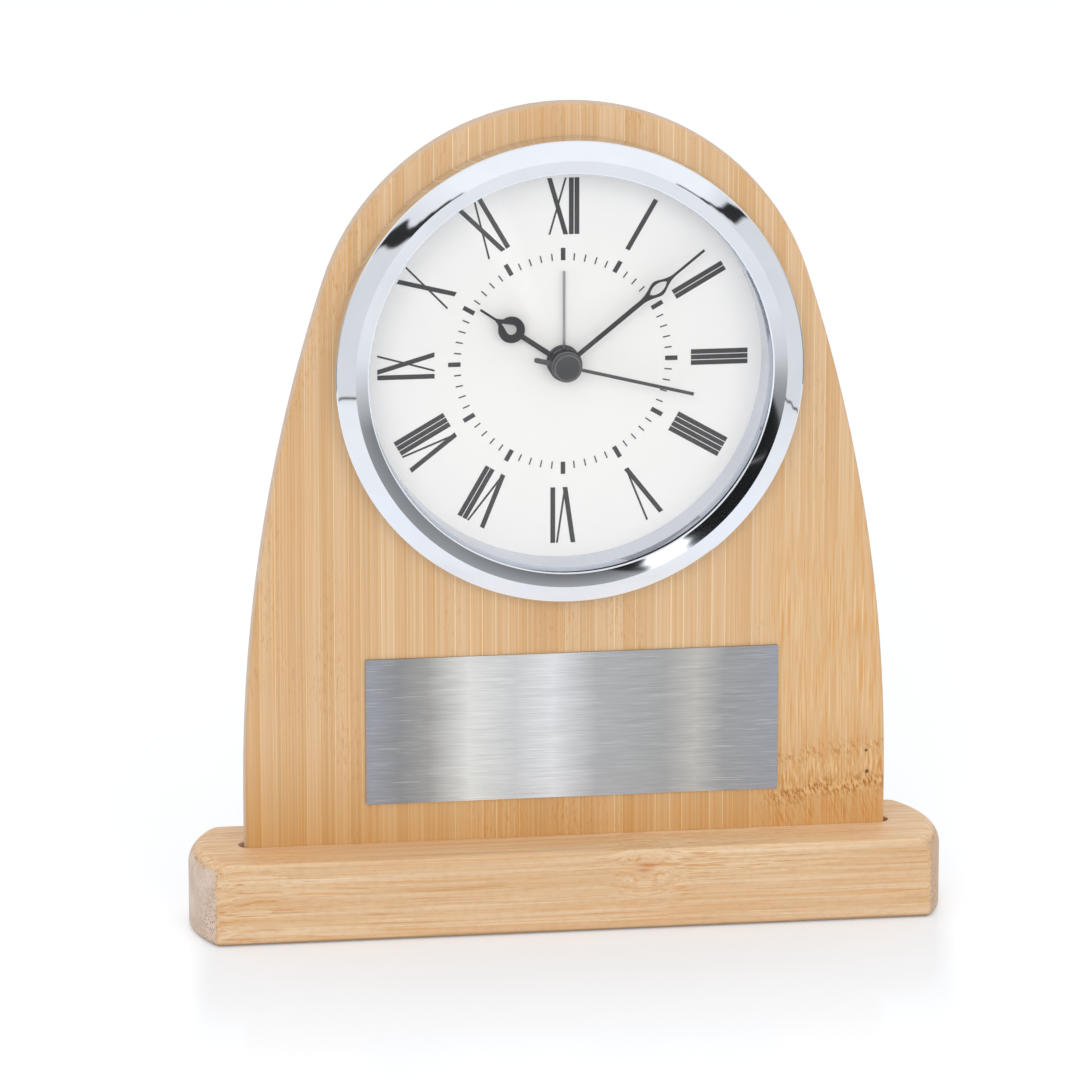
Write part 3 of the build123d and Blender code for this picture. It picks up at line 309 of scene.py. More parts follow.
def bamboo_base():
    """Lengthwise fibres that bow round a knot, and end grain at both ends."""
    m = Material("bamboo_base")
    knot_x, knot_z = 15.5, 14.2
    near = m.product(m.hump(m.x, knot_x, 5.5), m.hump(m.z, knot_z, 5.0))
    bow = m.product(m.math("SUBTRACT", knot_z, m.z), near, 0.62)
    flame = m.product(m.range(m.x, -80.0, -50.0, 1.0, 0.0), m.wobble(m.stretched((0.08, 0.12, 0.12)), 2.0))
    wave = m.wobble(m.stretched((0.012, 0.05, 0.05), (1.0, 0.0, 2.0)), 2.6)
    shift = m.sum((wave, 1.0), (flame, 1.0), (bow, 1.0))
    place = m.join(m.x, m.math("ADD", m.y, shift), m.math("ADD", m.z, shift))
    fibres = m.noise(m.stretched((0.03, 4.6, 4.6), place=place), detail=5.0, roughness=0.7)
    broad = m.noise(m.stretched((0.01, 0.7, 0.7), (4.0, 0.0, 0.0), place))
    colour = m.ramp(broad, [
        (0.3, srgb(215, 174, 129)), (0.5, srgb(222, 187, 147)), (0.7, srgb(230, 202, 168))])
    colour = m.shaded(colour, fibres, 0.2)
    streak = m.noise(m.stretched((0.01, 2.6, 2.6), (7.0, 2.0, 0.0), place), detail=3.0)
    colour = m.over(colour, srgb(219, 163, 98), m.range(streak, 0.56, 0.64, 0.0, 0.56))
    hair = m.noise(m.stretched((0.018, 3.8, 3.8), (2.0, 5.0, 1.0), place))
    colour = m.over(colour, srgb(190, 134, 80), m.range(hair, 0.6, 0.67, 0.0, 0.5))
    bright = m.noise(m.stretched((0.02, 3.0, 3.0), (5.0, 1.0, 9.0), place))
    colour = m.over(colour, srgb(243, 223, 193), m.range(bright, 0.6, 0.7, 0.0, 0.38))
    # Pale, torn grain right of the knot, and ragged dashes near the left end
    pale = m.product(m.range(m.x, 10.0, 24.0), m.range(m.x, 34.0, 74.0, 1.0, 0.0), m.range(m.z, 8.5, 14.0))
    colour = m.over(colour, srgb(243, 220, 186), pale, m.range(fibres, 0.4, 0.62, 0.0, 0.6))
    left_end = m.range(m.x, -78.0, -54.0, 1.0, 0.0)
    ragged = m.math("MAXIMUM", left_end, m.math("MAXIMUM", near, m.product(pale, 0.8)))
    torn = m.noise(m.stretched((0.13, 2.2, 2.2), (3.0, 0.0, 6.0), place))
    colour = m.over(colour, srgb(206, 142, 76), ragged, m.range(torn, 0.57, 0.67, 0.0, 0.85))
    front = m.range(m.y, -12.0, -9.0, 1.0, 0.0)
    for offset_x, offset_z, length, dark in ((0.2, 0.5, 2.2, 0.95), (-0.3, -0.7, 1.7, 0.8)):
        eye = m.product(
            m.hump(m.x, knot_x + offset_x, length), m.hump(m.z, knot_z + offset_z, 0.42), front, dark)
        colour = m.over(colour, srgb(192, 122, 58), eye, m.range(fibres, 0.35, 0.6, 0.5, 1.0))
    # End grain: greyish, with the dots of the cane's fibre bundles
    facing = m.split(m.normal)[0]
    end = m.range(m.math("ABSOLUTE", facing), 0.6, 0.86)
    cloud = m.noise(m.stretched((0.2, 0.2, 0.2)), detail=3.0)
    cut = m.ramp(cloud, [(0.35, srgb(216, 190, 169)), (0.65, srgb(231, 210, 194))])
    # Painted shade: the right end's cut made browner and darker, partly its wood tone, partly the shade on
    # that end
    cut = m.over(cut, srgb(205, 168, 128), m.range(m.x, 0.0, 10.0, 0.0, 0.8))
    dot = m.cells(m.stretched((0.0, 1.9, 1.9)), randomness=0.7).outputs["Distance"]
    dense = m.product(m.range(m.y, -14.0, -3.0, 1.0, 0.06), m.range(m.z, 5.0, 16.0, 1.0, 0.35))
    cut = m.over(cut, srgb(146, 106, 74), dense, m.range(dot, 0.24, 0.4, 0.95, 0.0))
    ragged_rim = m.noise(m.stretched((0.5, 0.9, 0.9), (3.0, 3.0, 3.0)), detail=3.0)
    rim = m.product(m.hump(end, 0.5, 0.36), m.range(ragged_rim, 0.48, 0.6, 0.0, 0.75))
    colour = m.mix(rim, m.mix(end, colour, cut), srgb(188, 134, 86))
    # Painted light: the top face made a little lighter
    painted_top_light = m.range(m.split(m.normal)[2], 0.6, 0.9)
    colour = m.mix(painted_top_light, colour, (1.2, 1.21, 1.2, 1.0), "MULTIPLY")
    # Painted shade: darker along the lower edge
    under = m.range(m.z, 0.1, 1.0, 0.7, 0.0)
    colour = m.mix(under, colour, srgb(120, 84, 50))
    return m.surface(
        colour, m.scaled(fibres, 0.16, 0.4), m.bump(fibres, 0.2, 0.07), Specular_IOR_Level=0.4)


# Metals
def brushed(name, node, painted_sheen_stops, roughness):
    """Brushed sheet: painted bands of sheen along its length over fine brush lines."""
    m = Material(name)
    low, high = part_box(node)
    across = m.math("DIVIDE", m.math("SUBTRACT", m.x, low.x / MM), (high.x - low.x) / MM)
    sway = m.wobble(m.stretched((0.05, 0.05, 0.35)), 0.05, 3.0)
    colour = m.ramp(m.math("ADD", across, sway), painted_sheen_stops)
    fine = m.noise(m.stretched((0.09, 4.6, 4.6)), detail=4.0, roughness=0.7)
    coarse = m.noise(m.stretched((0.05, 2.2, 2.2), (3.0, 1.0, 5.0)))
    scratch = m.noise(m.stretched((0.1, 5.5, 5.5), (8.0, 0.0, 2.0)))
    colour = m.shaded(m.shaded(colour, fine, 0.8), coarse, 0.2)
    colour = m.over(colour, srgb(236, 237, 238), m.range(scratch, 0.62, 0.72, 0.0, 0.3))
    rough = m.scaled(fine, 0.14, roughness - 0.07)
    return m.surface(colour, rough, m.bump(fine, 0.12, 0.03), Metallic=1.0)


def metal(name, colour, roughness, wear=0.12, bump=0.05):
    m = Material(name)
    fine = m.noise(m.stretched((1.3, 1.3, 1.3)), detail=4.0)
    rough = m.scaled(fine, 0.1, roughness - 0.05)
    return m.surface(m.shaded(colour, fine, wear), rough, m.bump(fine, bump, 0.02), Metallic=1.0)


def chrome():
    """Mirror plating with a trace of polishing haze."""
    m = Material("chrome")
    haze = m.noise(m.stretched((0.08, 0.08, 0.08)), detail=3.0)
    colour = m.ramp(haze, [(0.3, srgb(225, 230, 238)), (0.7, srgb(232, 236, 243))])
    return m.surface(colour, m.scaled(haze, 0.03, 0.03), Metallic=1.0)


# Plastics, paint and the rest
def plastic(name, colour, roughness, grain=4.0, bump=0.1, depth=0.03, wear=0.2):
    m = Material(name)
    fine = m.noise(m.stretched((grain, grain, grain)), detail=3.0)
    broad = m.noise(m.stretched((0.09, 0.09, 0.09)))
    tint = m.shaded(colour, m.sum((fine, 0.5), (broad, 0.5)), wear)
    return m.surface(tint, m.scaled(fine, 0.12, roughness - 0.06), m.bump(fine, bump, depth))


def cap_black():
    """Moulded cap, coloured by which way it faces: painted shade on the dark sides, a paler face and a
    painted highlight on the rim.
    """
    m = Material("cap_black")
    fine = m.noise(m.stretched((3.0, 3.0, 3.0)), detail=3.0)
    facing = m.math("ABSOLUTE", m.split(m.normal)[1])
    # Painted light and shade: sides darker, face paler and a highlight round the rim, by how far each part
    # faces the front
    colour = m.ramp(facing, [
        (0.2, srgb(34, 34, 35)), (0.45, srgb(48, 48, 49)), (0.7, srgb(150, 150, 151)),
        (0.9, srgb(96, 96, 97)), (0.99, srgb(66, 66, 67))])
    return m.surface(m.shaded(colour, fine, 0.2), 0.3, m.bump(fine, 0.03, 0.03))


def coil_copper():
    """Enamelled wire wound turn beside turn."""
    m = Material("coil_copper")
    wire_pitch = 0.22
    turns = m.math("SINE", m.math("MULTIPLY", m.x, 2 * math.pi / wire_pitch))
    fine = m.noise(m.stretched((2.0, 0.4, 0.4)))
    # Painted shade: the wire darker brown in the grooves between the turns
    colour = m.mix(m.range(turns, -1.0, 0.2), srgb(96, 44, 18), srgb(206, 118, 58))
    return m.surface(m.shaded(colour, fine, 0.3), 0.32, m.bump(turns, 0.5, 0.05), Metallic=0.7)


def board_green():
    """Lacquered board with paler tracks."""
    m = Material("board_green")
    tracks = m.cells(m.stretched((0.55, 0.0, 0.55)), feature="DISTANCE_TO_EDGE").outputs["Distance"]
    fine = m.noise(m.stretched((3.0, 3.0, 3.0)))
    colour = m.mix(m.range(tracks, 0.05, 0.09, 0.6, 0.0), srgb(30, 92, 52), srgb(64, 138, 84))
    return m.surface(m.shaded(colour, fine, 0.2), 0.35, m.bump(tracks, 0.1, 0.02))


def cell_sleeve():
    """Printed sleeve of a battery cell: dark, a copper-coloured end and a bare rim."""
    m = Material("cell_sleeve")
    half_length = 25.0
    fine = m.noise(m.stretched((0.4, 2.0, 2.0)))
    colour = m.ramp(m.range(m.x, -half_length, half_length), [
        (0.0, srgb(44, 46, 52)), (0.66, srgb(48, 50, 57)), (0.68, srgb(176, 128, 66)),
        (0.97, srgb(186, 138, 74)), (0.99, srgb(190, 190, 192))])
    colour = m.mix(1.0, colour, m.grey(m.scaled(fine, 0.15, 0.92)), "MULTIPLY")
    return m.surface(colour, 0.3, m.bump(fine, 0.05, 0.02), Metallic=0.4)


def lens_glass():
    """Clear pane: mostly see-through, with a faint mirror at its face."""
    m = Material("lens_glass")
    smear = m.noise(m.stretched((0.05, 0.05, 0.05)), detail=3.0)
    fresnel = m.tree.nodes.new("ShaderNodeFresnel")
    fresnel.inputs["IOR"].default_value = 1.45
    clear = m.tree.nodes.new("ShaderNodeBsdfTransparent")
    clear.inputs[0].default_value = (1.0, 1.0, 1.0, 1.0)
    mirror = m.tree.nodes.new("ShaderNodeBsdfPrincipled")
    mirror.inputs["Base Color"].default_value = (0.97, 0.98, 0.98, 1.0)
    mirror.inputs["Metallic"].default_value = 1.0
    m.put(mirror.inputs["Roughness"], m.scaled(smear, 0.03, 0.01))
    both = m.tree.nodes.new("ShaderNodeMixShader")
    m.put(both.inputs[0], m.math("MULTIPLY", fresnel.outputs[0], 0.3))
    m.tree.links.new(clear.outputs[0], both.inputs[1])
    m.tree.links.new(mirror.outputs[0], both.inputs[2])
    m.tree.links.new(both.outputs[0], m.output.inputs[0])
    return m.material


# Painted sheen: the plate's grey with bands of reflected light along it, from its left end to its right
plate_painted_sheen = [
    (0.02, srgb(152, 153, 160)), (0.08, srgb(142, 142, 143)), (0.15, srgb(160, 158, 155)),
    (0.25, srgb(218, 217, 213)), (0.36, srgb(200, 200, 200)), (0.45, srgb(218, 218, 219)),
    (0.56, srgb(174, 174, 175)), (0.72, srgb(164, 164, 163)), (0.8, srgb(186, 183, 178)),
    (0.87, srgb(156, 156, 156)), (0.99, srgb(154, 155, 161)),
]
looks = {
    "bamboo_base": bamboo_base(),
    "bamboo_panel": bamboo_panel(),
    "screw_steel": metal("screw_steel", srgb(190, 190, 188), 0.35),
    "brushed_plate": brushed("brushed_plate", "engraving_plate", plate_painted_sheen, 0.34),
    "tape": plastic("tape", srgb(226, 225, 220), 0.8, grain=2.0, bump=0.3),
    "chrome": chrome(),
    "lens_glass": lens_glass(),
    "spacer_white": plastic("spacer_white", srgb(219, 224, 234), 0.25, bump=0.02, wear=0.05),
    "dial_white": plastic(
        "dial_white", srgb(252, 250, 247), 0.6, grain=6.0, bump=0.03, depth=0.01, wear=0.03),
    "dial_ink": plastic("dial_ink", srgb(73, 73, 74), 0.55, grain=5.0, bump=0.05, wear=0.2),
    "black_plastic": plastic("black_plastic", srgb(36, 36, 37), 0.5, grain=5.0, bump=0.25, depth=0.05),
    "gasket_rubber": plastic("gasket_rubber", srgb(40, 40, 40), 0.75, grain=2.0, bump=0.3, depth=0.05),
    "movement_plastic": plastic("movement_plastic", srgb(84, 84, 87), 0.45, grain=3.0, bump=0.15),
    "gear_white": plastic("gear_white", srgb(234, 232, 222), 0.4, grain=2.0, bump=0.05, wear=0.08),
    "rotor_magnet": metal("rotor_magnet", srgb(120, 120, 123), 0.4, wear=0.3, bump=0.1),
    "motor_iron": metal("motor_iron", srgb(176, 176, 178), 0.38, wear=0.25, bump=0.1),
    "coil_copper": coil_copper(),
    "board_green": board_green(),
    "crystal_can": metal("crystal_can", srgb(214, 214, 216), 0.22),
    "buzzer_black": plastic("buzzer_black", srgb(42, 42, 43), 0.55, grain=4.0, bump=0.2),
    "cell_sleeve": cell_sleeve(),
    "contact_metal": metal("contact_metal", srgb(206, 203, 196), 0.3, wear=0.2),
    "hand_black": plastic("hand_black", srgb(58, 58, 60), 0.4, grain=3.0, bump=0.05, wear=0.15),
    "hand_grey": metal("hand_grey", srgb(186, 186, 188), 0.35),
    "second_hand_grey": plastic(
        "second_hand_grey", srgb(82, 82, 84), 0.4, grain=3.0, bump=0.05, wear=0.15),
    "cap_black": cap_black(),
    "knob_black": plastic("knob_black", srgb(38, 38, 39), 0.48, grain=5.0, bump=0.2, depth=0.04),
    "switch_red": plastic("switch_red", srgb(178, 46, 38), 0.45, grain=4.0, bump=0.15),
}


def paint(piece, slot):
    piece.data.materials.clear()
    piece.data.materials.append(looks[slot])


for subpart in frame["record"]["subparts"]:
    paint(nodes[subpart["node"]], subpart["material_slot"])
paint(nodes["second_hand"], "second_hand_grey")


# Turned pieces, finer than the frame's meshes
def lathe(name, profile, steps, sharp=35.0, solid=False):
    """Ring, or solid of which the profile's ends are flat faces, turned about the dial axis from
    (radius, depth) points in millimetres, depth from the panel's face."""
    corners, faces = [], []
    count = len(profile)
    for i in range(steps):
        angle = 2 * math.pi * i / steps
        for radius, depth in profile:
            x, z = radius * MM * math.sin(angle), radius * MM * math.cos(angle)
            corners.append((x, panel_y + depth * MM, dial_z + z))
    for i in range(steps):
        here, after = i * count, (i + 1) % steps * count
        for j in range(count - 1 if solid else count):
            k = (j + 1) % count
            faces.append((here + j, here + k, after + k, after + j))
    if solid:
        faces.append([i * count for i in range(steps)])
        faces.append([i * count + count - 1 for i in reversed(range(steps))])
    mesh = bpy.data.meshes.new(name)
    mesh.from_pydata(corners, [], faces)
    mesh.validate()
    mesh.shade_smooth()
    mesh.set_sharp_from_angle(angle=math.radians(sharp))
    piece = bpy.data.objects.new(name, mesh)
    bpy.context.scene.collection.objects.link(piece)
    return piece


def arc(start, end, bulge, steps):
    """Points along a shallow arc from start to end; bulge is its height to the left of the way."""
    chord = (end[0] - start[0], end[1] - start[1])
    length = math.hypot(*chord)
    normal = (-chord[1] / length, chord[0] / length)
    points = []
    for i in range(steps + 1):
        t = i / steps
        rise = 4 * bulge * t * (1 - t)
        points.append(tuple(start[k] + chord[k] * t + normal[k] * rise for k in (0, 1)))
    return points


# Points on the bezel's two faces, and how far each leans outwards there, in degrees
bezel_edge, bezel_crest, bezel_lip = (51.42, -5.85), (47.45, -8.14), (44.55, -7.28)
band_lean = (28.0, 32.4)
slope_lean = (-13.7, -19.6)


def bezel():
    """Ring with a slightly swollen face on each side of its crest and a lip undercut down to the lens."""
    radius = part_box("bezel_ring")[1].x / MM
    seat_radius, seat_depth, lip_radius = 46.53, -4.7, 44.4
    band_swell, slope_swell = 0.0435, 0.039
    band = arc(bezel_edge, bezel_crest, band_swell, 16)
    slope = arc(bezel_crest, bezel_lip, slope_swell, 12)[1:]
    lip = [(lip_radius + 0.05, -7.22), (lip_radius, -7.1), (lip_radius + 0.02, -6.95)]
    undercut = [(lip_radius + 0.8, seat_depth - 0.02), (seat_radius - 0.03, seat_depth - 0.02)]
    seat = [(seat_radius, seat_depth), (seat_radius, 0.0)]
    back = [(radius - 0.1, 0.0), (radius, -0.1), (radius, -5.7), (radius - 0.03, -5.8)]
    return lathe("chrome_bezel", band + slope + lip + undercut + seat + back, steps=360)


def hand_cap():
    """Moulded cap: a flange at the hand, a step, and a rounded rim round a shallow dish."""
    low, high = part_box("second_hand_cap")
    radius = (high.x - low.x) / 2 / MM
    front, back = (low.y - panel_y) / MM, (high.y - panel_y) / MM
    flange_width, flange_height = 0.45, 0.42
    face = radius - flange_width
    foot = back - flange_height
    dish = [(face - 0.62, front + 0.07), (face - 0.5, front + 0.03), (face - 0.4, front)]
    rim = arc((face - 0.28, front), (face, front + 0.28), -0.058, 6)
    step = [(face + 0.03, foot - 0.08), (face + 0.1, foot)]
    flange = [(radius - 0.08, foot), (radius, foot + 0.08), (radius, back)]
    return lathe("moulded_cap", dish + rim + step + flange, steps=120, solid=True)


def replace(piece, node, body="clock", look=None):
    """Piece that stands for a node, in the node's own look unless another is named."""
    slot = next(s["material_slot"] for s in frame["record"]["subparts"] if s["node"] == node)
    paint(piece, look or slot)
    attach(piece, body)
    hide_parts(node)


def curved(middle, radius, start, end, steps=24):
    """Points (x, z) along an arc; angles in degrees from +X towards +Z."""
    angles = [math.radians(start + (end - start) * i / steps) for i in range(steps + 1)]
    return [(middle[0] + radius * math.cos(a), middle[1] + radius * math.sin(a)) for a in angles]


def turn_arrow(node):
    """Three strokes of an arrow bent round a knob, which turns clockwise seen from behind."""
    low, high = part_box(node)
    middle = ((low.x + high.x) / 2 / MM, (low.z + high.z) / 2 / MM)
    gap, start, end = 2.2, 40, 140
    barb_turn, barb_reach = 14, 1.1
    radius = (high.x - low.x) / 2 / MM + gap
    shaft = curved(middle, radius, start, end)
    barbs = []
    for reach in (-barb_reach, barb_reach):
        barb = curved(middle, radius + reach, end - barb_turn, end - barb_turn, 1)[0]
        barbs.append([shaft[-1], barb])
    return [shaft] + barbs


def frame_round(node, room, reach):
    """Rounded frame round a piece that slides by reach along X."""
    low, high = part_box(node)
    left, right = low.x / MM - room, high.x / MM + room + reach
    bottom, top = low.z / MM - room, high.z / MM + room
    radius = 1.2
    corners = [
        (right - radius, top - radius), (left + radius, top - radius),
        (left + radius, bottom + radius), (right - radius, bottom + radius)]
    points = []
    for i, corner in enumerate(corners):
        points += curved(corner, radius, 90 * i, 90 * (i + 1), 6)
    return points + points[:1]


def sound_ribs(node, pitch=2.0, margin=0.5):
    """Ribs over the buzzer, as long as its round outline allows."""
    low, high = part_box(node)
    middle = ((low.x + high.x) / 2 / MM, (low.z + high.z) / 2 / MM)
    radius = (high.x - low.x) / 2 / MM - margin
    count = int(radius / pitch)
    ribs = []
    for i in range(-count, count + 1):
        half = math.sqrt(radius ** 2 - (i * pitch) ** 2)
        height = middle[1] + i * pitch
        ribs.append([(middle[0] - half, height), (middle[0] + half, height)])
    return ribs


def rear_marks():
    """Half-round beads that stand a little proud of the rear cover."""
    bead_height = 0.3
    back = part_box("rear_cover")[1].y
    joints = frame["record"]["behaviour"]["joints"]
    slide = next(joint for joint in joints if joint["name"] == "alarm_switch_slide")
    strokes = turn_arrow("time_set_knob") + turn_arrow("alarm_set_knob") + sound_ribs("buzzer")
    strokes.append(frame_round("alarm_switch", 1.0, slide["range_m"][1] / MM))
    data = bpy.data.curves.new("rear_marks", "CURVE")
    data.dimensions = "3D"
    data.bevel_depth = bead_height * MM
    data.bevel_resolution = 3
    data.use_fill_caps = True
    for stroke in strokes:
        spline = data.splines.new("POLY")
        spline.points.add(len(stroke) - 1)
        for point, (x, z) in zip(spline.points, stroke):
            point.co = (x * MM, back, z * MM, 1.0)
    outline = bpy.data.objects.new("rear_marks_outline", data)
    mesh = bpy.data.meshes.new_from_object(outline)
    bpy.data.objects.remove(outline)
    mesh.name = "rear_marks"
    mesh.shade_smooth()
    piece = bpy.data.objects.new("rear_marks", mesh)
    bpy.context.scene.collection.objects.link(piece)
    paint(piece, "black_plastic")
    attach(piece, "clock")


rear_marks()
replace(bezel(), "bezel_ring")
replace(hand_cap(), "second_hand_cap", "seconds", "cap_black")


# Studio
def stage_mesh(name, corners, faces, material):
    """Piece of the studio, which isn't part of the clock."""
    mesh = bpy.data.meshes.new(name)
    mesh.from_pydata(corners, [], faces)
    mesh.materials.append(material)
    piece = bpy.data.objects.new(name, mesh)
    bpy.context.scene.collection.objects.link(piece)
    return piece


def seen_directly(tree):
    """1 for rays from the camera, mirrors and glass."""
    path = tree.nodes.new("ShaderNodeLightPath")
    total = path.outputs["Is Camera Ray"]
    for name in ("Is Glossy Ray", "Is Transmission Ray"):
        node = tree.nodes.new("ShaderNodeMath")
        node.operation = "MAXIMUM"
        tree.links.new(total, node.inputs[0])
        tree.links.new(path.outputs[name], node.inputs[1])
        total = node.outputs[0]
    return total


def floor_look():
    """Pale floor that is white where it is seen directly, with a soft painted shade in front of the base.
    """
    m = Material("floor")
    tree = m.tree
    white_level, shade_level = 0.335, 0.14
    shade_length, shade_lean = 120.0, 0.144
    mirror_share, mirror_roughness = 0.06, 0.08
    plain = tree.nodes.new("ShaderNodeBsdfDiffuse")
    plain.inputs[0].default_value = (0.87, 0.9, 0.94, 1.0)
    bright = tree.nodes.new("ShaderNodeEmission")
    low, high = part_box("base_block")
    front, side = low.y / MM, high.x / MM
    # Painted shade: a soft shadow on the floor ahead of the base, leaning a little to one side, for camera
    # rays only
    fading = m.range(m.y, front - shade_length, front)
    ahead = m.product(fading, m.range(m.y, front, front + 10.0, 1.0, 0.0))
    across = m.scaled(m.math("SUBTRACT", front, m.y), shade_lean, m.x)
    beside = m.range(m.math("ABSOLUTE", across), side - 5.0, side + 3.0, 1.0, 0.0)
    camera_ray = tree.nodes.new("ShaderNodeLightPath").outputs["Is Camera Ray"]
    shade = m.product(ahead, beside, camera_ray, shade_level)
    white = m.math("MULTIPLY", seen_directly(tree), white_level)
    m.put(bright.inputs[1], m.math("SUBTRACT", white, shade))
    both = tree.nodes.new("ShaderNodeAddShader")
    tree.links.new(plain.outputs[0], both.inputs[0])
    tree.links.new(bright.outputs[0], both.inputs[1])
    mirror = tree.nodes.new("ShaderNodeBsdfGlossy")
    mirror.inputs["Roughness"].default_value = mirror_roughness
    polished = tree.nodes.new("ShaderNodeMixShader")
    polished.inputs[0].default_value = mirror_share
    tree.links.new(both.outputs[0], polished.inputs[1])
    tree.links.new(mirror.outputs[0], polished.inputs[2])
    tree.links.new(polished.outputs[0], m.output.inputs[0])
    return m.material


floor_reach, floor_drop = 6.0, 0.0002
floor_corners = [
    (x * floor_reach, y * floor_reach, -floor_drop) for x, y in ((-1, -1), (1, -1), (1, 1), (-1, 1))]
stage_mesh("floor", floor_corners, [(0, 1, 2, 3)], floor_look())


def studio_world(light, seen):
    """White surroundings, with one strength for their light and one where they are seen directly."""
    world = bpy.data.worlds.new("studio")
    bpy.context.scene.world = world
    world.use_nodes = True
    tree = world.node_tree
    background = tree.nodes["Background"]
    background.inputs[0].default_value = (1.0, 1.0, 1.0, 1.0)
    level = tree.nodes.new("ShaderNodeMapRange")
    level.inputs["To Min"].default_value = light
    level.inputs["To Max"].default_value = seen
    tree.links.new(seen_directly(tree), level.inputs["Value"])
    tree.links.new(level.outputs[0], background.inputs[1])


studio_world(light=0.74, seen=1.0)


def lamp(name, place, power, aim=(0, 0, 0.09), width=1.2):
    """Round soft lamp that mirrors don't see."""
    data = bpy.data.lights.new(name, "AREA")
    data.shape = "DISK"
    data.size = width
    data.energy = power
    piece = bpy.data.objects.new(name, data)
    piece.location = place
    piece.rotation_euler = (Vector(aim) - Vector(place)).to_track_quat("-Z", "Y").to_euler()
    piece.visible_glossy = False
    bpy.context.scene.collection.objects.link(piece)


lamp("key", (-0.7, -2.2, 1.0), power=12.0)
lamp("fill", (0.6, -2.2, 0.55), power=7.0)

# Camera where the photo was taken from
side, rise, distance = math.radians(8.21), math.radians(14.3), 1.5808
aim = Vector((-0.00599, -0.002, 0.08575))
forward = Vector((math.sin(side) * math.cos(rise), math.cos(side) * math.cos(rise), -math.sin(rise)))
camera_data = bpy.data.cameras.new("camera")
camera_data.lens = 240.0
camera_data.sensor_width = 36.0
camera = bpy.data.objects.new("camera", camera_data)
camera.location = aim - distance * forward
camera.rotation_euler = forward.to_track_quat("-Z", "Y").to_euler()
bpy.context.scene.collection.objects.link(camera)
bpy.context.scene.camera = camera


# Painted reflections: studio cards, seen only by mirrors, standing where the bezel's two faces mirror
# them, painted with its reflections, laid out by the hour round the dial and the share of the way across a
# face
def through(value, points):
    """Height at a value of the broken line through (value, height) points."""
    return np.interp(value, *zip(*points))


def soft(distance, blur):
    """Blurred edge: 0 before it, 1 after it."""
    return np.clip(distance / blur + 0.5, 0.0, 1.0)


def laid_over(level, patch, brightness):
    """Level with a patch of another brightness over it."""
    return level * (1 - patch) + brightness * patch


def window(hour, share, left, right, top):
    """Patch between two edges, each given by (share, hour) points, up to a share of the way across."""
    inside = soft(hour - through(share, left), 0.04) * soft(through(share, right) - hour, 0.04)
    return inside * soft(top - share, 0.06)


def band_card(hour, share):
    """Painted reflection of the outer face: the brightness it mirrors; share runs from the crest to the
    outer edge.
    """
    level = through(hour, [
        (0, 1.1), (1.2, 1.1), (1.4, 0.88), (1.65, 0.84), (3.3, 0.86), (3.45, 0.95), (4.1, 1.05),
        (7.9, 1.05), (8.8, 1.0), (8.9, 0.84), (10.2, 0.83), (10.5, 0.9), (11, 1.1), (12, 1.1)])
    right_window = window(
        hour, share, top=0.92,
        left=[(0, 0.95), (0.05, 1.2), (0.15, 1.36), (0.3, 1.4), (0.7, 1.42), (0.9, 1.54)],
        right=[(0, 1.3), (0.03, 1.38), (0.08, 1.5), (0.15, 1.59), (0.3, 1.6), (0.7, 1.61), (0.9, 1.64)])
    left_window = window(
        hour, share, top=1.2,
        left=[
            (0, 10.38), (0.13, 10.28), (0.27, 10.23), (0.47, 10.2), (0.71, 10.2), (0.85, 10.17),
            (0.97, 10.08)],
        right=[
            (0, 11), (0.06, 10.85), (0.12, 10.62), (0.19, 10.5), (0.32, 10.45), (0.47, 10.46),
            (0.61, 10.5), (0.71, 10.48), (0.9, 10.33), (1, 10.2)])
    for dark in (right_window, left_window):
        level = laid_over(level, dark, 0.03)
    right_joint = 3.27 + 0.13 * share + 0.009 * np.sin(share * 14)
    left_joint = 8.86 - 0.05 * share ** 8
    for joint in (right_joint, left_joint):
        line = soft(0.011 - np.abs(hour - joint), 0.012) * soft(0.93 - share, 0.06)
        level = laid_over(level, line, 0.05)
    return level


def slope_card(hour, share):
    """Painted reflection of the inner face: the brightness it mirrors; share runs from the crest to the
    lip.
    """
    before = through(hour, [(0, 0.97), (2.4, 0.95), (2.9, 0.72), (3.1, 0.45), (3.3, 0.3)])
    crest = through(hour, [
        (5.3, 0.46), (6, 0.46), (7.3, 0.39), (8.55, 0.34), (8.66, 0.45), (9.2, 0.95), (12, 0.97)])
    lip = through(hour, [
        (5.3, 0.18), (6, 0.16), (7.3, 0.29), (8.55, 0.25), (8.66, 0.42), (9.2, 0.93), (12, 0.97)])
    after = crest + (lip - crest) * np.clip(share, 0, 1) ** 0.8
    level = np.where(hour < 4.5, before, after)
    dark = soft(hour - 3.48 + 0.23 * share, 0.05) * soft(5.33 + 0.35 * share - hour, 0.06)
    level = laid_over(level, dark, 0.016)
    streak = soft(0.012 - np.abs(hour - 3.79 - 0.16 * share), 0.02)
    level = level + 0.3 * streak * soft(share - 0.2, 0.1) * soft(0.9 - share, 0.1)
    # Painted highlight of a lamp, with a wavy edge
    highlight_edge = 0.02 * np.sin(share * 9)
    bright = soft(hour - 4.87 - highlight_edge, 0.05) * soft(5.31 - highlight_edge - hour, 0.05)
    return laid_over(level, bright, 1.6)


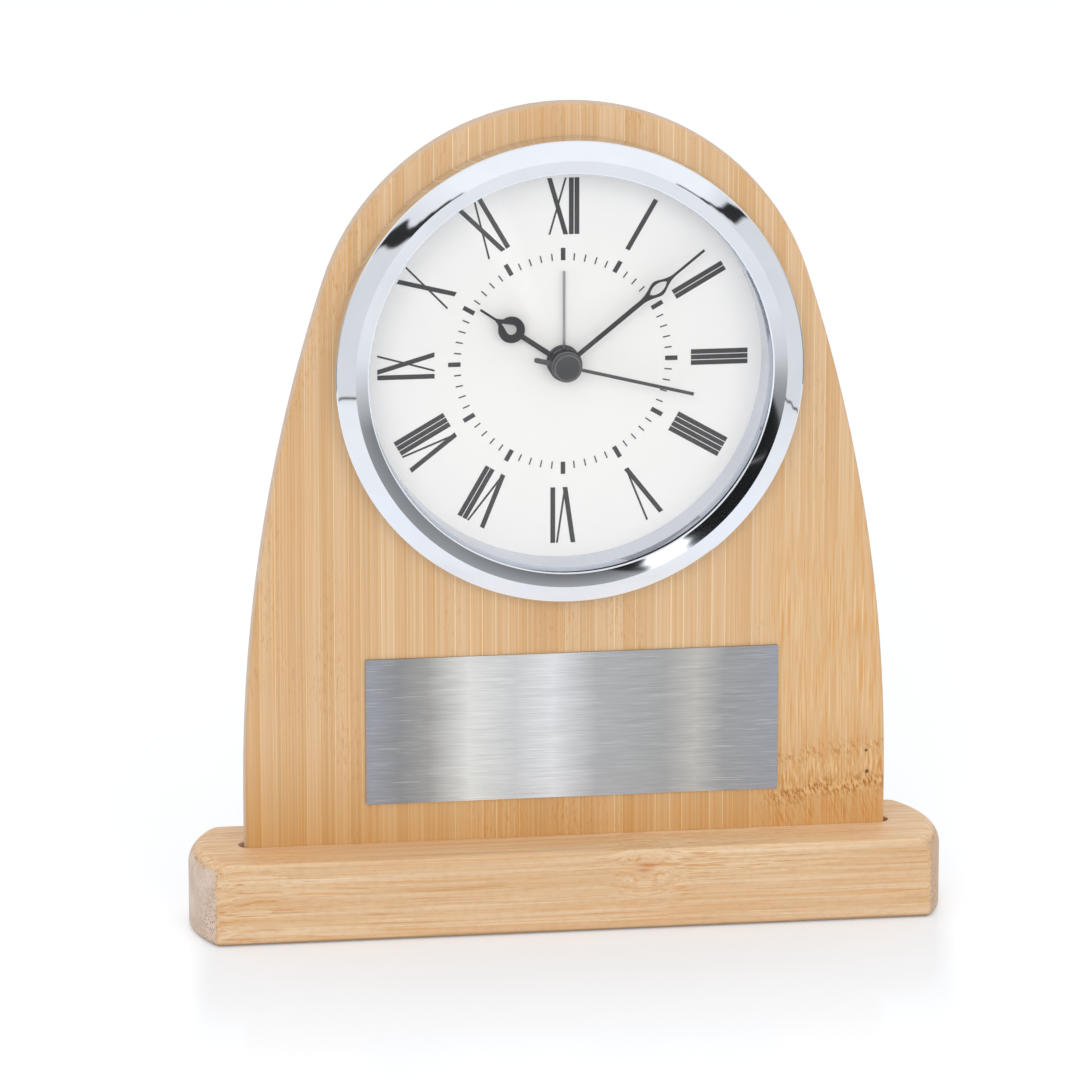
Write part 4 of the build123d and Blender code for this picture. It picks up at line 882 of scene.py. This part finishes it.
def card(name, inner, outer, leans, look, reach=0.15):
    """Sheet standing where the camera sees it mirrored between two rings of the bezel, with a painted
    reflection on it.
    """
    columns, rows, overlap = 1440, 28, 0.2
    hours = np.linspace(0, 12, columns + 1)
    shares = np.linspace(-overlap, 1 + overlap, rows + 1)
    hour, share = np.meshgrid(hours, shares, indexing="ij")
    turn = np.radians(hour * 30)
    out = np.stack([np.sin(turn), 0 * turn, np.cos(turn)], -1)
    front = np.array([0.0, -1.0, 0.0])
    radius = (inner[0] + (outer[0] - inner[0]) * share)[..., None] * MM
    depth = (inner[1] + (outer[1] - inner[1]) * share)[..., None] * MM
    spot = np.array([0.0, panel_y, dial_z]) + out * radius - front * depth
    lean = np.radians(leans[0] + (leans[1] - leans[0]) * share)[..., None]
    normal = out * np.sin(lean) + front * np.cos(lean)
    view = np.array(camera.location) - spot
    view /= np.linalg.norm(view, axis=-1, keepdims=True)
    mirrored = 2 * np.sum(view * normal, axis=-1, keepdims=True) * normal - view
    corners = (spot + mirrored * reach).reshape(-1, 3)
    count = rows + 1
    faces = []
    for i in range(columns):
        for j in range(rows):
            k = i * count + j
            faces.append((k, k + 1, k + count + 1, k + count))
    m = Material(name)
    painted = m.tree.nodes.new("ShaderNodeAttribute")
    painted.attribute_name = "level"
    glow = m.tree.nodes.new("ShaderNodeEmission")
    m.tree.links.new(painted.outputs["Fac"], glow.inputs[1])
    m.tree.links.new(glow.outputs[0], m.output.inputs[0])
    piece = stage_mesh(name, corners.tolist(), faces, m.material)
    layer = piece.data.attributes.new("level", "FLOAT", "POINT")
    layer.data.foreach_set("value", look(hour, share).reshape(-1))
    only_mirrored(piece)


def only_mirrored(piece):
    """Hide a piece from all but the rays that mirrors send."""
    piece.visible_camera = False
    piece.visible_diffuse = False
    piece.visible_transmission = False
    piece.visible_shadow = False


def side_card(name, x):
    """Grey sheet beside the clock that gives the chrome its contrast seen from the side."""
    near, far, top = -0.3, 0.25, 0.4
    m = Material(name)
    glow = m.tree.nodes.new("ShaderNodeEmission")
    upward = m.range(m.z, 0.0, top / MM, 0.22, 0.95)
    inward = m.range(m.math("ABSOLUTE", m.math("ADD", m.y, 30.0)), 60.0, 260.0, 0.0, 1.0)
    m.put(glow.inputs[1], m.math("MAXIMUM", upward, inward))
    m.tree.links.new(glow.outputs[0], m.output.inputs[0])
    corners = [(x, near, 0.0), (x, far, 0.0), (x, far, top), (x, near, top)]
    only_mirrored(stage_mesh(name, corners, [(0, 1, 2, 3)], m.material))


side_card("left_card", -0.45)
side_card("right_card", 0.45)
card("band_card", bezel_crest, bezel_edge, band_lean, band_card)
card("slope_card", bezel_crest, bezel_lip, slope_lean, slope_card)

bpy.context.scene.view_settings.view_transform = "Standard"
